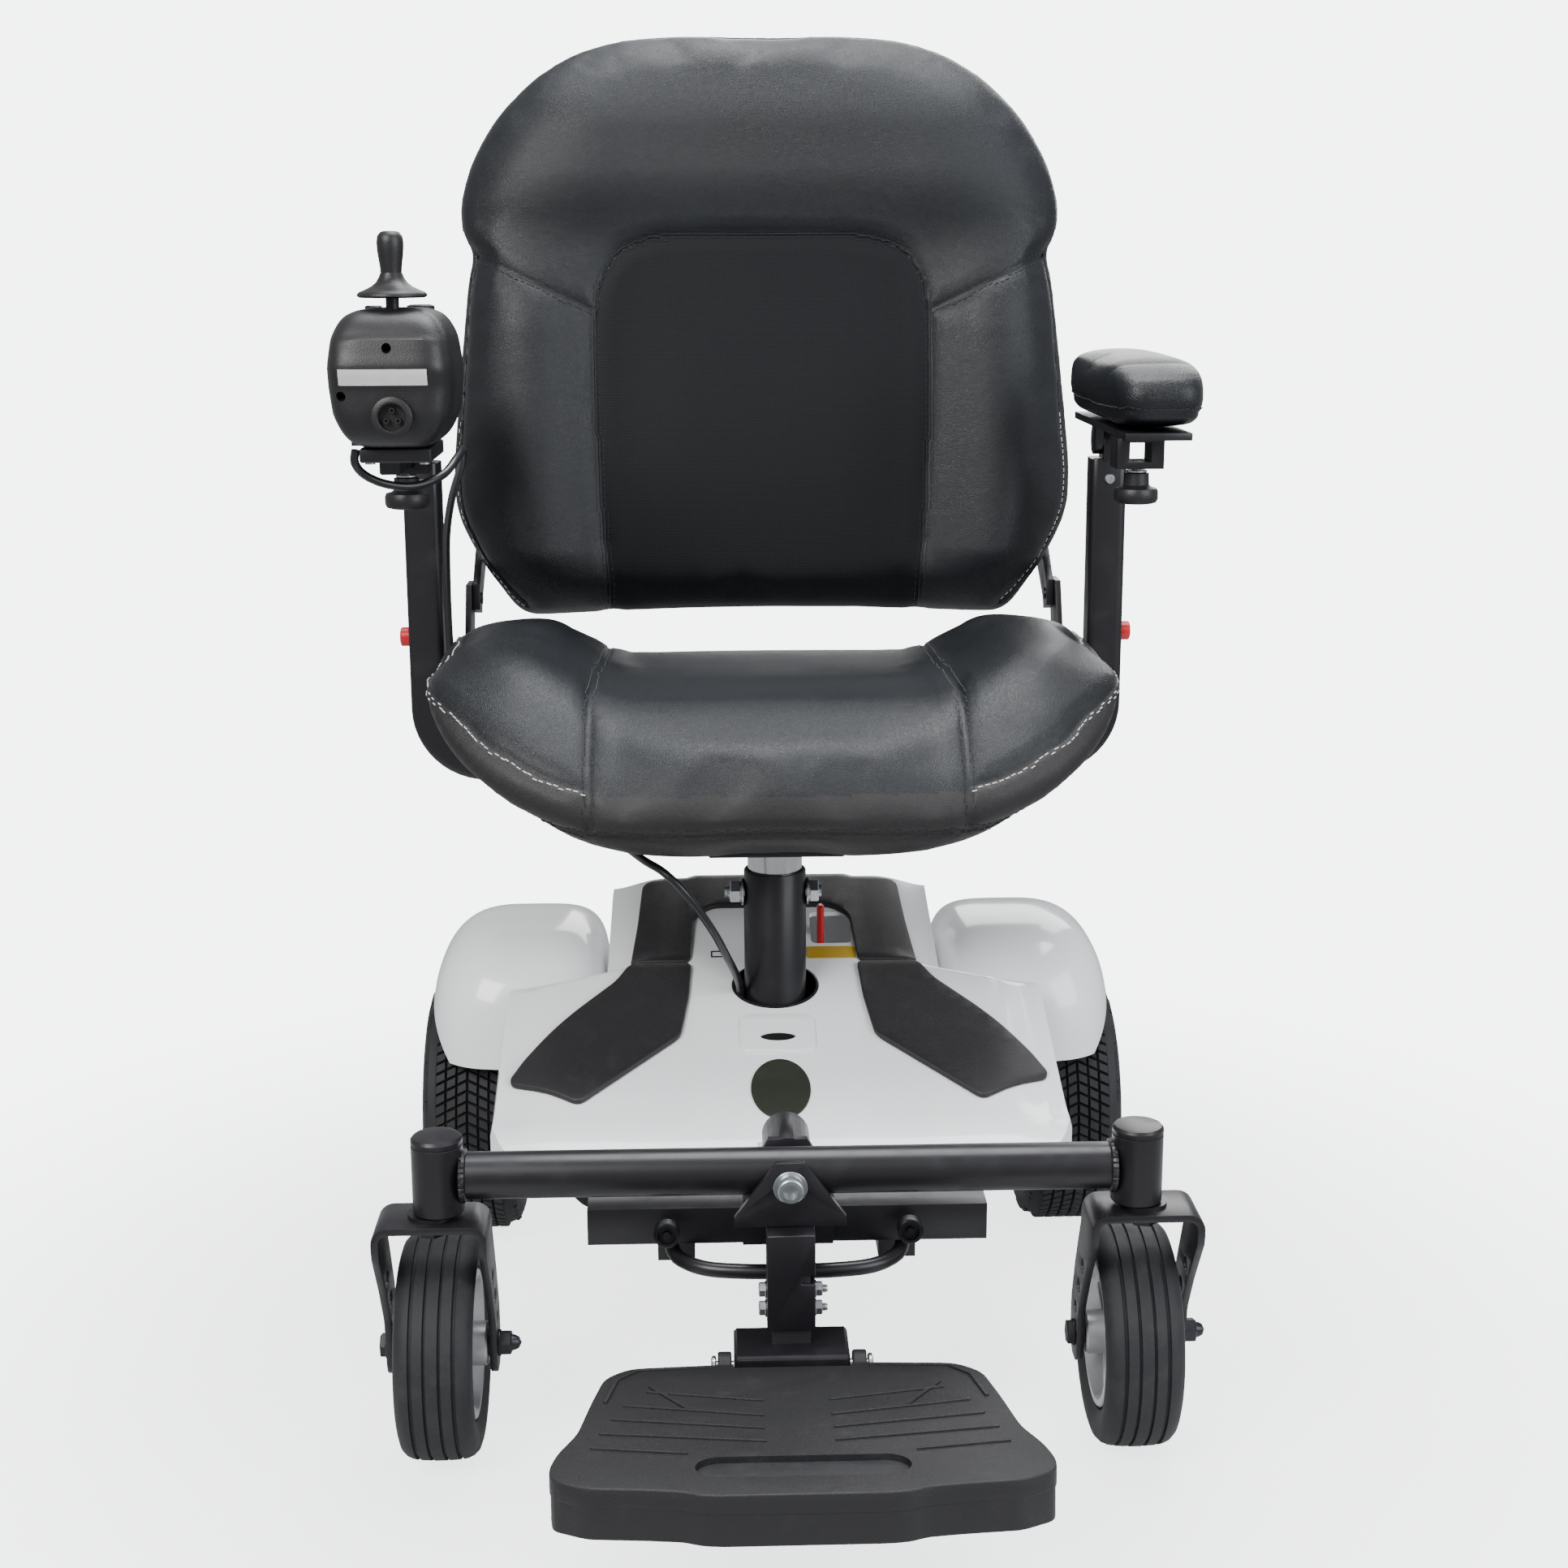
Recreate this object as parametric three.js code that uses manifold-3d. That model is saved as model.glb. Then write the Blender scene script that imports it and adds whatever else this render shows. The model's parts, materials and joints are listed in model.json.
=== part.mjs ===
// Compact rear-wheel-drive power wheelchair.
// Millimetres, +Z up, front towards -Y. Inside the chair group Y = 0 is the front caster axle line.
import * as THREE from 'three';
import Module from 'manifold-3d';
import { ConvexGeometry } from 'three/addons/geometries/ConvexGeometry.js';
import { mergeVertices } from 'three/addons/utils/BufferGeometryUtils.js';

const wasm = await Module();
wasm.setup();

// ---- driving dimensions -------------------------------------------------------------------
const GAP = 0.3;                                   // clearance between pieces that rest on each other
const CENTRE_Y = 165;                              // middle of the chair's length from the caster axle

const CASTER = { x: 227, radius: 76, width: 52, rim: 50, stemY: -39, axle: 5 };
const FORK = { half: 37, wall: 5, crownTop: 186, front: -60, back: -18, foot: 15 };
const BEAM = { z: 213.2, radius: 15.3, stem: 16.7, bottom: 189, top: 241.5 };
const PIVOT = { y: -39, z: 211, bolt: 5 };
const DRIVE = { x: 247, y: 385, radius: 102, width: 74, rim: 62, axle: 8 };
const COLUMN = { y: 243, radius: 23.5, bore: 20.9, bottom: 160.3, top: 340, boltZ: 322, boltR: 5 };
const POST = { radius: 20.6, bore: 17.6, bottom: 185, top: 360.7, slotLow: 256, slotHigh: 328.2 };
const RAMP = { rise: 0.31, foot: 171 };            // top face of the shroud: z = foot + rise * y
const SHELL = 3;                                   // wall of the plastic covers
const HANGER = { y: -60.5, half: 15.5, bottom: 118, top: 183.5, wall: 2.5 };
const PLATE = { pinY: -84, pinZ: 98, tilt: 7.2, lip: 31 };
const SEAT = { half: 250, front: 120, corner: 157, back: 486, bottom: 379, top: 500 };
const PAN = { half: 172, nose: 60, front: 184, side: 292, back: 413, bottom: 368, top: 378.7 };
const RECEIVER = { y: 432.5, outer: 20.7, bore: 16.7, z: 384.5, tall: 19.2, boreTall: 15.2 };
const BACK = { hingeY: 515, hingeZ: 507, foot: 493, lean: 0.18, middleY: 509, thick: 32, height: 482 };
const ARM = { inner: 262, outer: 291, end: 62, bend: 60, bendZ: 430, top: 630, half: 16, y: 432.5 };
const FLIP = { y: 428, z: 645, radius: 12, pin: 4 };
const BUTTON = { z: 488, radius: 8, recess: 7, proud: 8 };
const PAD = { inner: 238, outer: 306, front: 198, back: 440, bottom: 667, top: 720 };
const KNOB = { x: 264, y: 235, bottom: 614 };
const POD = { x: -256, half: 42, front: 92, back: 195, bottom: 667, top: 758, stickY: 135, stickZ: 748 };
const CABLE = { radius: 3, sides: 8 };

// ---- finishes -----------------------------------------------------------------------------
const finish = (color, roughness, metalness = 0) =>
  new THREE.MeshStandardMaterial({ color, roughness, metalness });
const blackSteel = () => finish(0x17171c, 0.4, 0.3);
const whiteShell = () => finish(0xf1f3f5, 0.22);
const darkTrim = () => finish(0x2c2c32, 0.7);
const vinyl = () => finish(0x1c1e23, 0.45);
const rubber = () => finish(0x1a1a1d, 0.8);
const silver = () => finish(0xa9abad, 0.4, 0.6);
const zinc = () => finish(0xc4c8ca, 0.3, 0.9);
const blackPlastic = () => finish(0x202025, 0.5);
const redPlastic = () => finish(0xc2262c, 0.4);

// ---- solids -------------------------------------------------------------------------------
const chair = new THREE.Group();
chair.position.y = -CENTRE_Y;

function solid(geometry) {
  const bare = geometry.index ? geometry.toNonIndexed() : geometry.clone();
  bare.deleteAttribute('normal');
  bare.deleteAttribute('uv');
  const merged = mergeVertices(bare, 1e-4);
  return new wasm.Manifold(new wasm.Mesh({
    numProp: 3,
    vertProperties: new Float32Array(merged.attributes.position.array),
    triVerts: new Uint32Array(merged.index.array),
  }));
}

function geometryOf(body) {
  const { vertProperties, triVerts } = body.getMesh();
  const geometry = new THREE.BufferGeometry();
  geometry.setAttribute('position', new THREE.BufferAttribute(new Float32Array(vertProperties), 3));
  geometry.setIndex(new THREE.BufferAttribute(new Uint32Array(triVerts), 1));
  return geometry;
}

function add(name, body, material) {
  const mesh = new THREE.Mesh(body.isBufferGeometry ? body : geometryOf(body), material);
  mesh.name = name;
  chair.add(mesh);
}

const union = (...parts) => parts.reduce((whole, part) => whole.add(part));

function box(x0, x1, y0, y1, z0, z1) {
  const block = new THREE.BoxGeometry(x1 - x0, y1 - y0, z1 - z0);
  return solid(block.translate((x0 + x1) / 2, (y0 + y1) / 2, (z0 + z1) / 2));
}

// A block whose twelve edges are cut back by `cut`.
function softBox(x0, x1, y0, y1, z0, z1, cut) {
  const points = [];
  for (const [x, sx] of [[x0, 1], [x1, -1]])
    for (const [y, sy] of [[y0, 1], [y1, -1]])
      for (const [z, sz] of [[z0, 1], [z1, -1]])
        points.push(
          new THREE.Vector3(x, y + sy * cut, z + sz * cut),
          new THREE.Vector3(x + sx * cut, y, z + sz * cut),
          new THREE.Vector3(x + sx * cut, y + sy * cut, z));
  return solid(new ConvexGeometry(points));
}

// A solid of revolution. `profile` holds [radius, along] pairs; a flat side faces down or forward.
function turned(profile, axis, centre, sides = 24) {
  const lathe = new THREE.LatheGeometry(profile.map(([r, t]) => new THREE.Vector2(r, t)), sides);
  lathe.rotateY(Math.PI / sides);
  if (axis === 'x') lathe.rotateZ(-Math.PI / 2);
  if (axis === 'z') lathe.rotateX(Math.PI / 2);
  const body = solid(lathe.translate(...centre));
  return body.volume() < 0 ? solid(flipped(lathe)) : body;
}

function flipped(geometry) {
  const index = geometry.index.array;
  for (let i = 0; i < index.length; i += 3) [index[i], index[i + 1]] = [index[i + 1], index[i]];
  return geometry;
}

const rod = (axis, radius, from, to, centre, sides = 24) =>
  turned([[0, from], [radius, from], [radius, to], [0, to]], axis, centre, sides);

const tube = (axis, radius, bore, from, to, centre, sides = 32) =>
  turned([[bore, from], [radius, from], [radius, to], [bore, to], [bore, from]], axis, centre, sides);

const outline = (points) => new THREE.Shape(points.map(([u, v]) => new THREE.Vector2(u, v)));

// Extrusions of a flat outline along Z (plan), X (side view) and Y (front view).
function plan(shape, z0, z1, curveSegments = 8) {
  const body = new THREE.ExtrudeGeometry(shape, { depth: z1 - z0, bevelEnabled: false, curveSegments });
  return solid(body.translate(0, 0, z0));
}

function side(shape, x0, x1, curveSegments = 8) {
  const body = new THREE.ExtrudeGeometry(shape, { depth: x1 - x0, bevelEnabled: false, curveSegments });
  return solid(body.rotateX(Math.PI / 2).rotateZ(Math.PI / 2).translate(x0, 0, 0));
}

function front(shape, y0, y1, curveSegments = 8) {
  const body = new THREE.ExtrudeGeometry(shape, { depth: y1 - y0, bevelEnabled: false, curveSegments });
  return solid(body.rotateX(Math.PI / 2).translate(0, y1, 0));
}

// A closed skin through rings of equal length, each ring a list of Vector3.
function loft(rings) {
  const n = rings[0].length;
  const middle = (ring) => ring.reduce((sum, p) => sum.add(p), new THREE.Vector3()).divideScalar(n);
  const points = [...rings.flat(), middle(rings[0]), middle(rings.at(-1))];
  const faces = [];
  for (let r = 0; r + 1 < rings.length; r++)
    for (let i = 0; i < n; i++) {
      const [a, b] = [r * n + i, r * n + (i + 1) % n];
      faces.push(a, b, b + n, a, b + n, a + n);
    }
  const last = (rings.length - 1) * n;
  for (let i = 0; i < n; i++) {
    const j = (i + 1) % n;
    faces.push(points.length - 2, j, i, points.length - 1, last + i, last + j);
  }
  const geometry = new THREE.BufferGeometry().setFromPoints(points);
  geometry.setIndex(faces);
  const body = solid(geometry);
  return body.volume() > 0 ? body : solid(flipped(geometry));
}

// A round bar or cable of `count` sides along a smooth curve through the points.
function swept(points, radius, count, steps) {
  const path = new THREE.CatmullRomCurve3(points.map((p) => new THREE.Vector3(...p)), false, 'centripetal');
  const section = outline(Array.from({ length: count }, (_, i) => {
    const turn = i / count * Math.PI * 2;
    return [radius * Math.cos(turn), radius * Math.sin(turn)];
  }));
  return new THREE.ExtrudeGeometry(section, { steps, extrudePath: path });
}

const sides = [['left', -1], ['right', 1]];
const span = (sign, near, far) => (sign > 0 ? [near, far] : [-far, -near]);

// ---- frame --------------------------------------------------------------------------------
const RAIL = { inner: 62, outer: 87, bottom: 130, top: 160 };
const STOP_WHEEL = { y: 548, z: 42, radius: 27, inner: 84.5, outer: 106, pin: 4 };

function mainFrame() {
  const parts = [
    box(-133, 133, -12, 12, 151, 176),
    box(-RAIL.outer, RAIL.outer, 222, 264, RAIL.bottom, RAIL.top),
    box(-RAIL.outer, RAIL.outer, 296, 320, RAIL.bottom, RAIL.top),
    box(-RAIL.outer, RAIL.outer, 430, 455, RAIL.bottom, RAIL.top),
    box(28, 33.5, 302, 314, RAIL.top - 5, 245),
    rod('x', 3, 33, 42, [0, 308, 235], 12),
  ];
  const stay = outline([[440, 158], [455, 158], [560, 54], [560, 30], [540, 30], [440, 132]]);
  for (const [, sign] of sides) {
    parts.push(box(...span(sign, RAIL.inner, RAIL.outer), 8, 445, RAIL.bottom, RAIL.top));
    parts.push(box(...span(sign, 80, 95), 346, 424, 78, RAIL.top));
    parts.push(side(stay, ...span(sign, 64, 84)));
    const pin = span(sign, 80, STOP_WHEEL.outer);
    parts.push(rod('x', STOP_WHEEL.pin, pin[0], pin[1], [0, STOP_WHEEL.y, STOP_WHEEL.z], 16));
  }
  return union(...parts);
}
add('main_frame', mainFrame(), blackSteel());

for (const [name, sign] of sides) {
  const [x0, x1] = span(sign, STOP_WHEEL.inner, STOP_WHEEL.outer - 2);
  const wheel = tube('x', STOP_WHEEL.radius, STOP_WHEEL.pin + GAP + 0.1, x0, x1,
    [0, STOP_WHEEL.y, STOP_WHEEL.z], 24);
  add(`antitip_wheel_${name}`, wheel, rubber());
}

const boltHole = (radius) => rod('x', radius, -60, 60, [0, COLUMN.y, COLUMN.boltZ], 16);
add('column_tube',
  tube('z', COLUMN.radius, COLUMN.bore, COLUMN.bottom, COLUMN.top, [0, COLUMN.y, 0], 40)
    .subtract(boltHole(COLUMN.boltR + 0.4)),
  blackSteel());

function columnBolt() {
  const place = [0, COLUMN.y, COLUMN.boltZ];
  const washer = COLUMN.radius + GAP;
  return union(
    rod('x', COLUMN.boltR, -40, 37, place, 16),
    rod('x', 11.5, -washer - 2, -washer, place, 20), rod('x', 11.5, washer, washer + 2, place, 20),
    rod('x', 9, -washer - 10, -washer - 1.8, place, 6), rod('x', 8.5, washer + 1.8, washer + 8, place, 6));
}
add('column_bolt', columnBolt(), zinc());

// The bracket straddles the front beam, which rocks on the bolt.
function pivotBracket() {
  const gusset = outline([[-36, 184], [36, 184], [36, 190], [9, 227], [-9, 227], [-36, 190]]);
  const backPlate = outline([[-30, 152], [30, 152], [30, 196], [13, 226], [-13, 226], [-30, 196]]);
  const hole = rod('y', PIVOT.bolt + GAP, -70, 40, [0, 0, PIVOT.z], 16);
  return union(
    front(gusset, -62, -57), box(-30, 30, -62, -12.3, 184, 189),
    front(backPlate, -18, -12.3), rod('y', 16, -18, 30, [0, 0, PIVOT.z], 24)).subtract(hole);
}
add('pivot_bracket', pivotBracket(), blackSteel());
add('pivot_bolt', union(
  rod('y', 9, -71, -62.3, [0, 0, PIVOT.z], 20),
  rod('y', PIVOT.bolt - 0.2, -66, 36, [0, 0, PIVOT.z], 16)), zinc());

function footrestHanger() {
  const { y, half, bottom, top, wall } = HANGER;
  const inner = half - wall;
  return box(-half, half, y - half, y + half, bottom, top)
    .subtract(box(-inner, inner, y - inner, y + inner, bottom - 5, top - 4))
    .subtract(box(half - 9, half + 1, y - half - 1, y + half + 1, 150, 156));
}
add('footrest_hanger', footrestHanger(), blackSteel());

// A bent rod hangs under the crossbar as a tie-down eye.
function tiedownLoop() {
  const [x, top, drop] = [78, 150.2, 140];
  const half = [[x, 0, top], [x, -0.5, top - 4], [x - 5, -12, drop + 1], [x - 22, -27, drop],
    [x - 48, -33, drop]];
  return solid(swept([...half, [0, -34, drop], ...half.toReversed().map(([u, v, w]) => [-u, v, w])],
    5, 8, 26));
}
add('tiedown_loop', tiedownLoop(), blackSteel());

add('battery_box', softBox(-150, 150, 90, 212, RAIL.top + 0.5, 196, 5), blackPlastic());

for (const [name, sign] of sides) {
  const [x0, x1] = span(sign, 96, 196);
  const shaft = span(sign, 190, 286);
  const motor = union(
    softBox(x0, x1, 350, 420, 66, 138, 8),
    rod('y', 30, 225, 352, [sign * 132, 0, DRIVE.radius], 24),
    rod('x', DRIVE.axle, shaft[0], shaft[1], [0, DRIVE.y, DRIVE.radius], 20));
  add(`gear_motor_${name}`, motor, blackPlastic());
}

// ---- covers -------------------------------------------------------------------------------
const rampZ = (y) => RAMP.foot + RAMP.rise * y;
const rampWedge = (lift, low) => side(
  outline([[-20, low], [430, low], [430, rampZ(430) + lift], [-20, rampZ(-20) + lift]]), -230, 230);

function coverPlan(inset) {
  const half = [[150, 38], [190, 58], [204, 88], [204, 258], [128, 280], [128, 395]];
  const moved = half.map(([x, y]) => [x - inset, y + (y < 60 ? inset : y > 390 ? -inset : 0)]);
  return outline([...moved, ...moved.toReversed().map(([x, y]) => [-x, y])]);
}

function shroud() {
  const outer = plan(coverPlan(0), 162, 320).intersect(rampWedge(0, 100));
  const inner = plan(coverPlan(SHELL), 100, 320).intersect(rampWedge(-SHELL, 90));
  const opening = plan(new THREE.Shape().absellipse(0, COLUMN.y + 2, 33.5, 29.5, 0, Math.PI * 2), 150, 320);
  const leverHole = box(30, 62, 298, 340, 150, 320);
  const keyHole = plan(new THREE.Shape().absellipse(0, 180, 14, 6, 0, Math.PI * 2), 150, 320, 5);
  const bossHole = rod('y', 19, 20, 60, [0, 0, PIVOT.z - 12], 20);
  return outer.subtract(inner).subtract(opening).subtract(leverHole).subtract(keyHole)
    .subtract(bossHole);
}
add('shroud', shroud(), whiteShell());

function fender(sign) {
  const skin = (inset) => outline([
    [282 + inset, inset ? 100 : 168], [290 + inset, 215], [320 + inset / 2, 250 - inset],
    [360, 266 - inset], [410, 266 - inset], [450 - inset / 2, 246 - inset], [478 - inset, 205],
    [484 - inset, inset ? 100 : 168]]);
  return side(skin(0), ...span(sign, 132, 276))
    .subtract(side(skin(SHELL), ...span(sign, 132 + SHELL, 276 - SHELL)))
    .subtract(rod('x', DRIVE.radius + 6, ...span(sign, 200, 300), [0, DRIVE.y, DRIVE.radius], 32));
}
for (const [name, sign] of sides) add(`fender_${name}`, fender(sign), whiteShell());

const onRamp = (shape) => plan(shape, 150, 320).intersect(rampWedge(4 + GAP, 100))
  .subtract(rampWedge(GAP, 90));
for (const [name, sign] of sides) {
  const band = [[76, 183], [146, 107], [199, 144], [150, 215], [112, 272], [66, 272]];
  const placed = band.map(([x, y]) => [sign * x, y]);
  add(`trim_${name}`, onRamp(outline(sign > 0 ? placed : placed.toReversed())), darkTrim());
}
add('trim_arch', onRamp(outline([
  [66, 274], [112, 274], [104, 386], [-104, 386], [-112, 274], [-66, 274], [-63, 330], [-48, 345],
  [48, 345], [63, 330]])), darkTrim());

const LEVER = { y: 308, z: 235, top: 292 };
add('freewheel_lever', union(
  rod('x', 6, 34.2, 41, [0, LEVER.y, LEVER.z], 16),
  softBox(35, 40.5, LEVER.y - 5, LEVER.y + 5, LEVER.z, LEVER.top, 1.5))
  .subtract(rod('x', 3.4, 30, 50, [0, LEVER.y, LEVER.z], 12)), redPlastic());

// ---- front axle and casters ---------------------------------------------------------------
function axleBeam() {
  const beam = rod('x', BEAM.radius, -CASTER.x, CASTER.x, [0, CASTER.stemY, BEAM.z], 20);
  const stems = sides.map(([, sign]) => turned(
    [[0, BEAM.bottom], [BEAM.stem, BEAM.bottom], [BEAM.stem, BEAM.top - 5], [BEAM.stem - 6, BEAM.top],
      [0, BEAM.top]], 'z', [sign * CASTER.x, CASTER.stemY, 0], 20));
  const bores = sides.map(([, sign]) =>
    rod('z', 8 + GAP + 0.1, BEAM.bottom - 5, 233, [sign * CASTER.x, CASTER.stemY, 0], 16));
  const boltHole = rod('y', PIVOT.bolt + GAP, -80, 0, [0, 0, PIVOT.z], 16);
  return union(beam, ...stems).subtract(union(...bores)).subtract(boltHole);
}
add('front_axle_beam', axleBeam(), blackSteel());

function casterFork(sign) {
  const { half, wall, crownTop, front: y0, back: y1, foot } = FORK;
  const arm = outline([[y0, crownTop], [y1, crownTop], [foot, 96], [foot, 66], [4, 60], [-foot + 3, 66],
    [-34, 130], [y0, 168]]);
  const c = sign * CASTER.x;
  const inner = CASTER.width / 2 + 3;
  return union(
    box(c - half, c + half, y0, y1, crownTop - wall, crownTop),
    side(arm, c - half, c - half + wall), side(arm, c + half - wall, c + half),
    rod('z', 8, crownTop - 1, 231, [c, CASTER.stemY, 0], 16))
    .subtract(rod('x', CASTER.axle + GAP, c - 60, c + 60, [0, 0, CASTER.radius], 16))
    .subtract(box(c - inner, c + inner, 0, 1, 40, 60));
}

function casterRim(c) {
  const w = 23;
  return turned([
    [CASTER.axle + 0.4, c - 30], [12, c - 30], [13, c - 8], [38, c - 8], [44, c - w], [CASTER.rim, c - w],
    [CASTER.rim, c + w], [44, c + w], [38, c + 8], [13, c + 8], [12, c + 30], [CASTER.axle + 0.4, c + 30],
    [CASTER.axle + 0.4, c - 30]], 'x', [0, 0, CASTER.radius], 18);
}

function tyre(c, y, radius, bore, width, crown) {
  const facets = 28;
  const flat = Math.cos(Math.PI / facets);
  const [r, b, h, s] = [radius / flat, bore / flat, width / 2, radius - bore];
  return turned([
    [b, c - h + 8], [b + s * 0.45, c - h], [r - crown, c - h + 2], [r, c - h * 0.62],
    [r, c + h * 0.62], [r - crown, c + h - 2], [b + s * 0.45, c + h], [b, c + h - 8],
    [b, c - h + 8]], 'x', [0, y, radius], facets);
}

for (const [name, sign] of sides) {
  const c = sign * CASTER.x;
  add(`caster_fork_${name}`, casterFork(sign), blackSteel());
  add(`caster_axle_${name}`, union(
    rod('x', CASTER.axle, c - 41, c + 53, [0, 0, CASTER.radius], 16),
    rod('x', 8, c - 42.5, c - FORK.half - GAP, [0, 0, CASTER.radius], 6),
    rod('x', 8, c + FORK.half + GAP, c + 46.5, [0, 0, CASTER.radius], 6)), blackSteel());
  add(`caster_rim_${name}`, casterRim(c), silver());
  add(`caster_tyre_${name}`, tyre(c, 0, CASTER.radius, CASTER.rim + GAP, CASTER.width, 9), rubber());
}

// ---- drive wheels -------------------------------------------------------------------------
function driveRim(sign) {
  const at = (t) => sign * t;
  const out = [[DRIVE.axle + 0.4, 206], [24, 206], [24, 238], [50, 240], [56, 216], [DRIVE.rim, 216],
    [DRIVE.rim, 278], [56, 278], [50, 262], [28, 262], [26, 280], [DRIVE.axle + 0.4, 280]];
  return turned([...out, out[0]].map(([r, t]) => [r, at(t)]), 'x', [0, DRIVE.y, DRIVE.radius], 22);
}
for (const [name, sign] of sides) {
  add(`drive_rim_${name}`, driveRim(sign), silver());
  add(`drive_tyre_${name}`,
    tyre(sign * DRIVE.x, DRIVE.y, DRIVE.radius, DRIVE.rim + GAP, DRIVE.width, 12), rubber());
}

// ---- footrest -----------------------------------------------------------------------------
const POST_HALF = HANGER.half - HANGER.wall - 0.5;
add('footrest_post', union(
  box(-POST_HALF, POST_HALF, HANGER.y - POST_HALF, HANGER.y + POST_HALF, 96, 172),
  softBox(-37, 37, PLATE.pinY - 8, HANGER.y + POST_HALF, PLATE.pinZ - 12, PLATE.pinZ + 10, 2))
  .subtract(rod('x', 4 + GAP, -60, 60, [0, PLATE.pinY, PLATE.pinZ], 16)), blackSteel());
add('footplate_pin', rod('x', 4, -52, 52, [0, PLATE.pinY, PLATE.pinZ], 16), zinc());

// The plate is drawn flat with its hinge line at v = 0 and then tilted front up.
function footplate() {
  const tread = outline([[-48, -9], [48, -9], [108, -14], [121, -40], [132, -120], [145, -172],
    [143, -188], [122, -201], [66, -207], [52, -214], [-52, -214], [-66, -207], [-122, -201],
    [-143, -188], [-145, -172], [-132, -120], [-121, -40], [-108, -14]]);
  const lip = outline([[145, -172], [143, -188], [122, -201], [66, -207], [52, -214], [-52, -214],
    [-66, -207], [-122, -201], [-143, -188], [-145, -172], [-138, -166], [138, -166]].toReversed());
  const grip = new THREE.Shape();
  grip.absarc(-52, -176, 9, Math.PI / 2, Math.PI * 1.5);
  grip.absarc(52, -176, 9, Math.PI * 1.5, Math.PI * 2.5);
  const eyes = [[-48, -39], [39, 48]].map(([x0, x1]) => rod('x', 9.5, x0, x1, [0, 0, 0], 16));
  const body = union(plan(tread, -7, 5), plan(lip, 5 - PLATE.lip, 5), ...eyes)
    .subtract(plan(grip, 1, 20, 5))
    .subtract(box(-38, 38, -15.5, 15, -20, 20))
    .subtract(rod('x', 4 + GAP, -60, 60, [0, 0, 0], 16));
  return geometryOf(body).rotateX(-THREE.MathUtils.degToRad(PLATE.tilt))
    .translate(0, PLATE.pinY, PLATE.pinZ);
}
add('footplate', footplate(), blackPlastic());

// ---- seat ---------------------------------------------------------------------------------
add('seat_post', tube('z', POST.radius, POST.bore, POST.bottom, POST.top, [0, COLUMN.y, 0], 40)
  .subtract(box(-30, 30, COLUMN.y - 5.8, COLUMN.y + 5.8, POST.slotLow, POST.slotHigh)), zinc());
add('swivel_plate', union(
  softBox(-50, 50, COLUMN.y - 50, COLUMN.y + 50, 361, 367.6, 1),
  rod('z', 12, 364, 377, [0, COLUMN.y, 0], 24)), blackSteel());

function seatPan() {
  const { y, outer, bore, z, tall, boreTall } = RECEIVER;
  const ear = outline([[453, 366], [474, 366], [529, 500], [529, 520], [502, 520], [453, 415]]);
  const parts = [
    plan(outline([[-PAN.half, PAN.side], [-PAN.nose, PAN.front], [PAN.nose, PAN.front],
      [PAN.half, PAN.side], [PAN.half, PAN.back], [-PAN.half, PAN.back]]), PAN.bottom, PAN.top),
    box(-186, 186, y - outer, y + outer, z - tall, z + tall)
      .subtract(box(-200, 200, y - bore, y + bore, z - boreTall, z + boreTall)),
    box(-252, 252, y + outer - 1, 474, 366, 386),
  ];
  for (const [, sign] of sides) {
    parts.push(side(ear, ...span(sign, 247, 252)));
    const pin = span(sign, 239, 248);
    parts.push(rod('x', 5, pin[0], pin[1], [0, BACK.hingeY, BACK.hingeZ], 16));
  }
  return union(...parts).subtract(rod('z', 12 + GAP, 350, 390, [0, COLUMN.y, 0], 24));
}
add('seat_pan', seatPan(), blackSteel());

add('swivel_lever', union(
  rod('z', 10, 356, PAN.bottom - GAP, [80, 300, 0], 20), softBox(80, 150, 293, 307, 358, 363, 1),
  softBox(146, 172, 290, 310, 355, 366, 3)), blackPlastic());

// The seat's plan: a bowed front edge and round corners, scaled ring by ring.
function seatRing(z, half, frontIn, backIn) {
  const shape = new THREE.Shape();
  const [y0, y1, c] = [SEAT.front + frontIn, SEAT.back - backIn, 52];
  const side0 = SEAT.corner + frontIn;
  shape.moveTo(0, y0);
  shape.quadraticCurveTo(half * 0.6, y0 + 4, half - c, side0 - 10);
  shape.quadraticCurveTo(half, side0 + 4, half, side0 + c + 10);
  shape.lineTo(half, y1 - c);
  shape.quadraticCurveTo(half - 4, y1, half - c, y1);
  shape.lineTo(-half + c, y1);
  shape.quadraticCurveTo(-half + 4, y1, -half, y1 - c);
  shape.lineTo(-half, side0 + c + 10);
  shape.quadraticCurveTo(-half, side0 + 4, -half + c, side0 - 10);
  shape.quadraticCurveTo(-half * 0.6, y0 + 4, 0, y0);
  const points = shape.getPoints(4);
  points.pop();
  return points.map((p) => new THREE.Vector3(p.x, p.y, z));
}
add('seat_cushion', loft([
  seatRing(SEAT.bottom, 165, 16, 24), seatRing(392, 186, 6, 12), seatRing(425, 226, 0, 4),
  seatRing(462, 243, 2, 0), seatRing(486, SEAT.half, 10, 2), seatRing(SEAT.top, 238, 34, 14)])
  .subtract(box(-280, 280, 404.5, 520, 300, 404.5)), vinyl());

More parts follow.
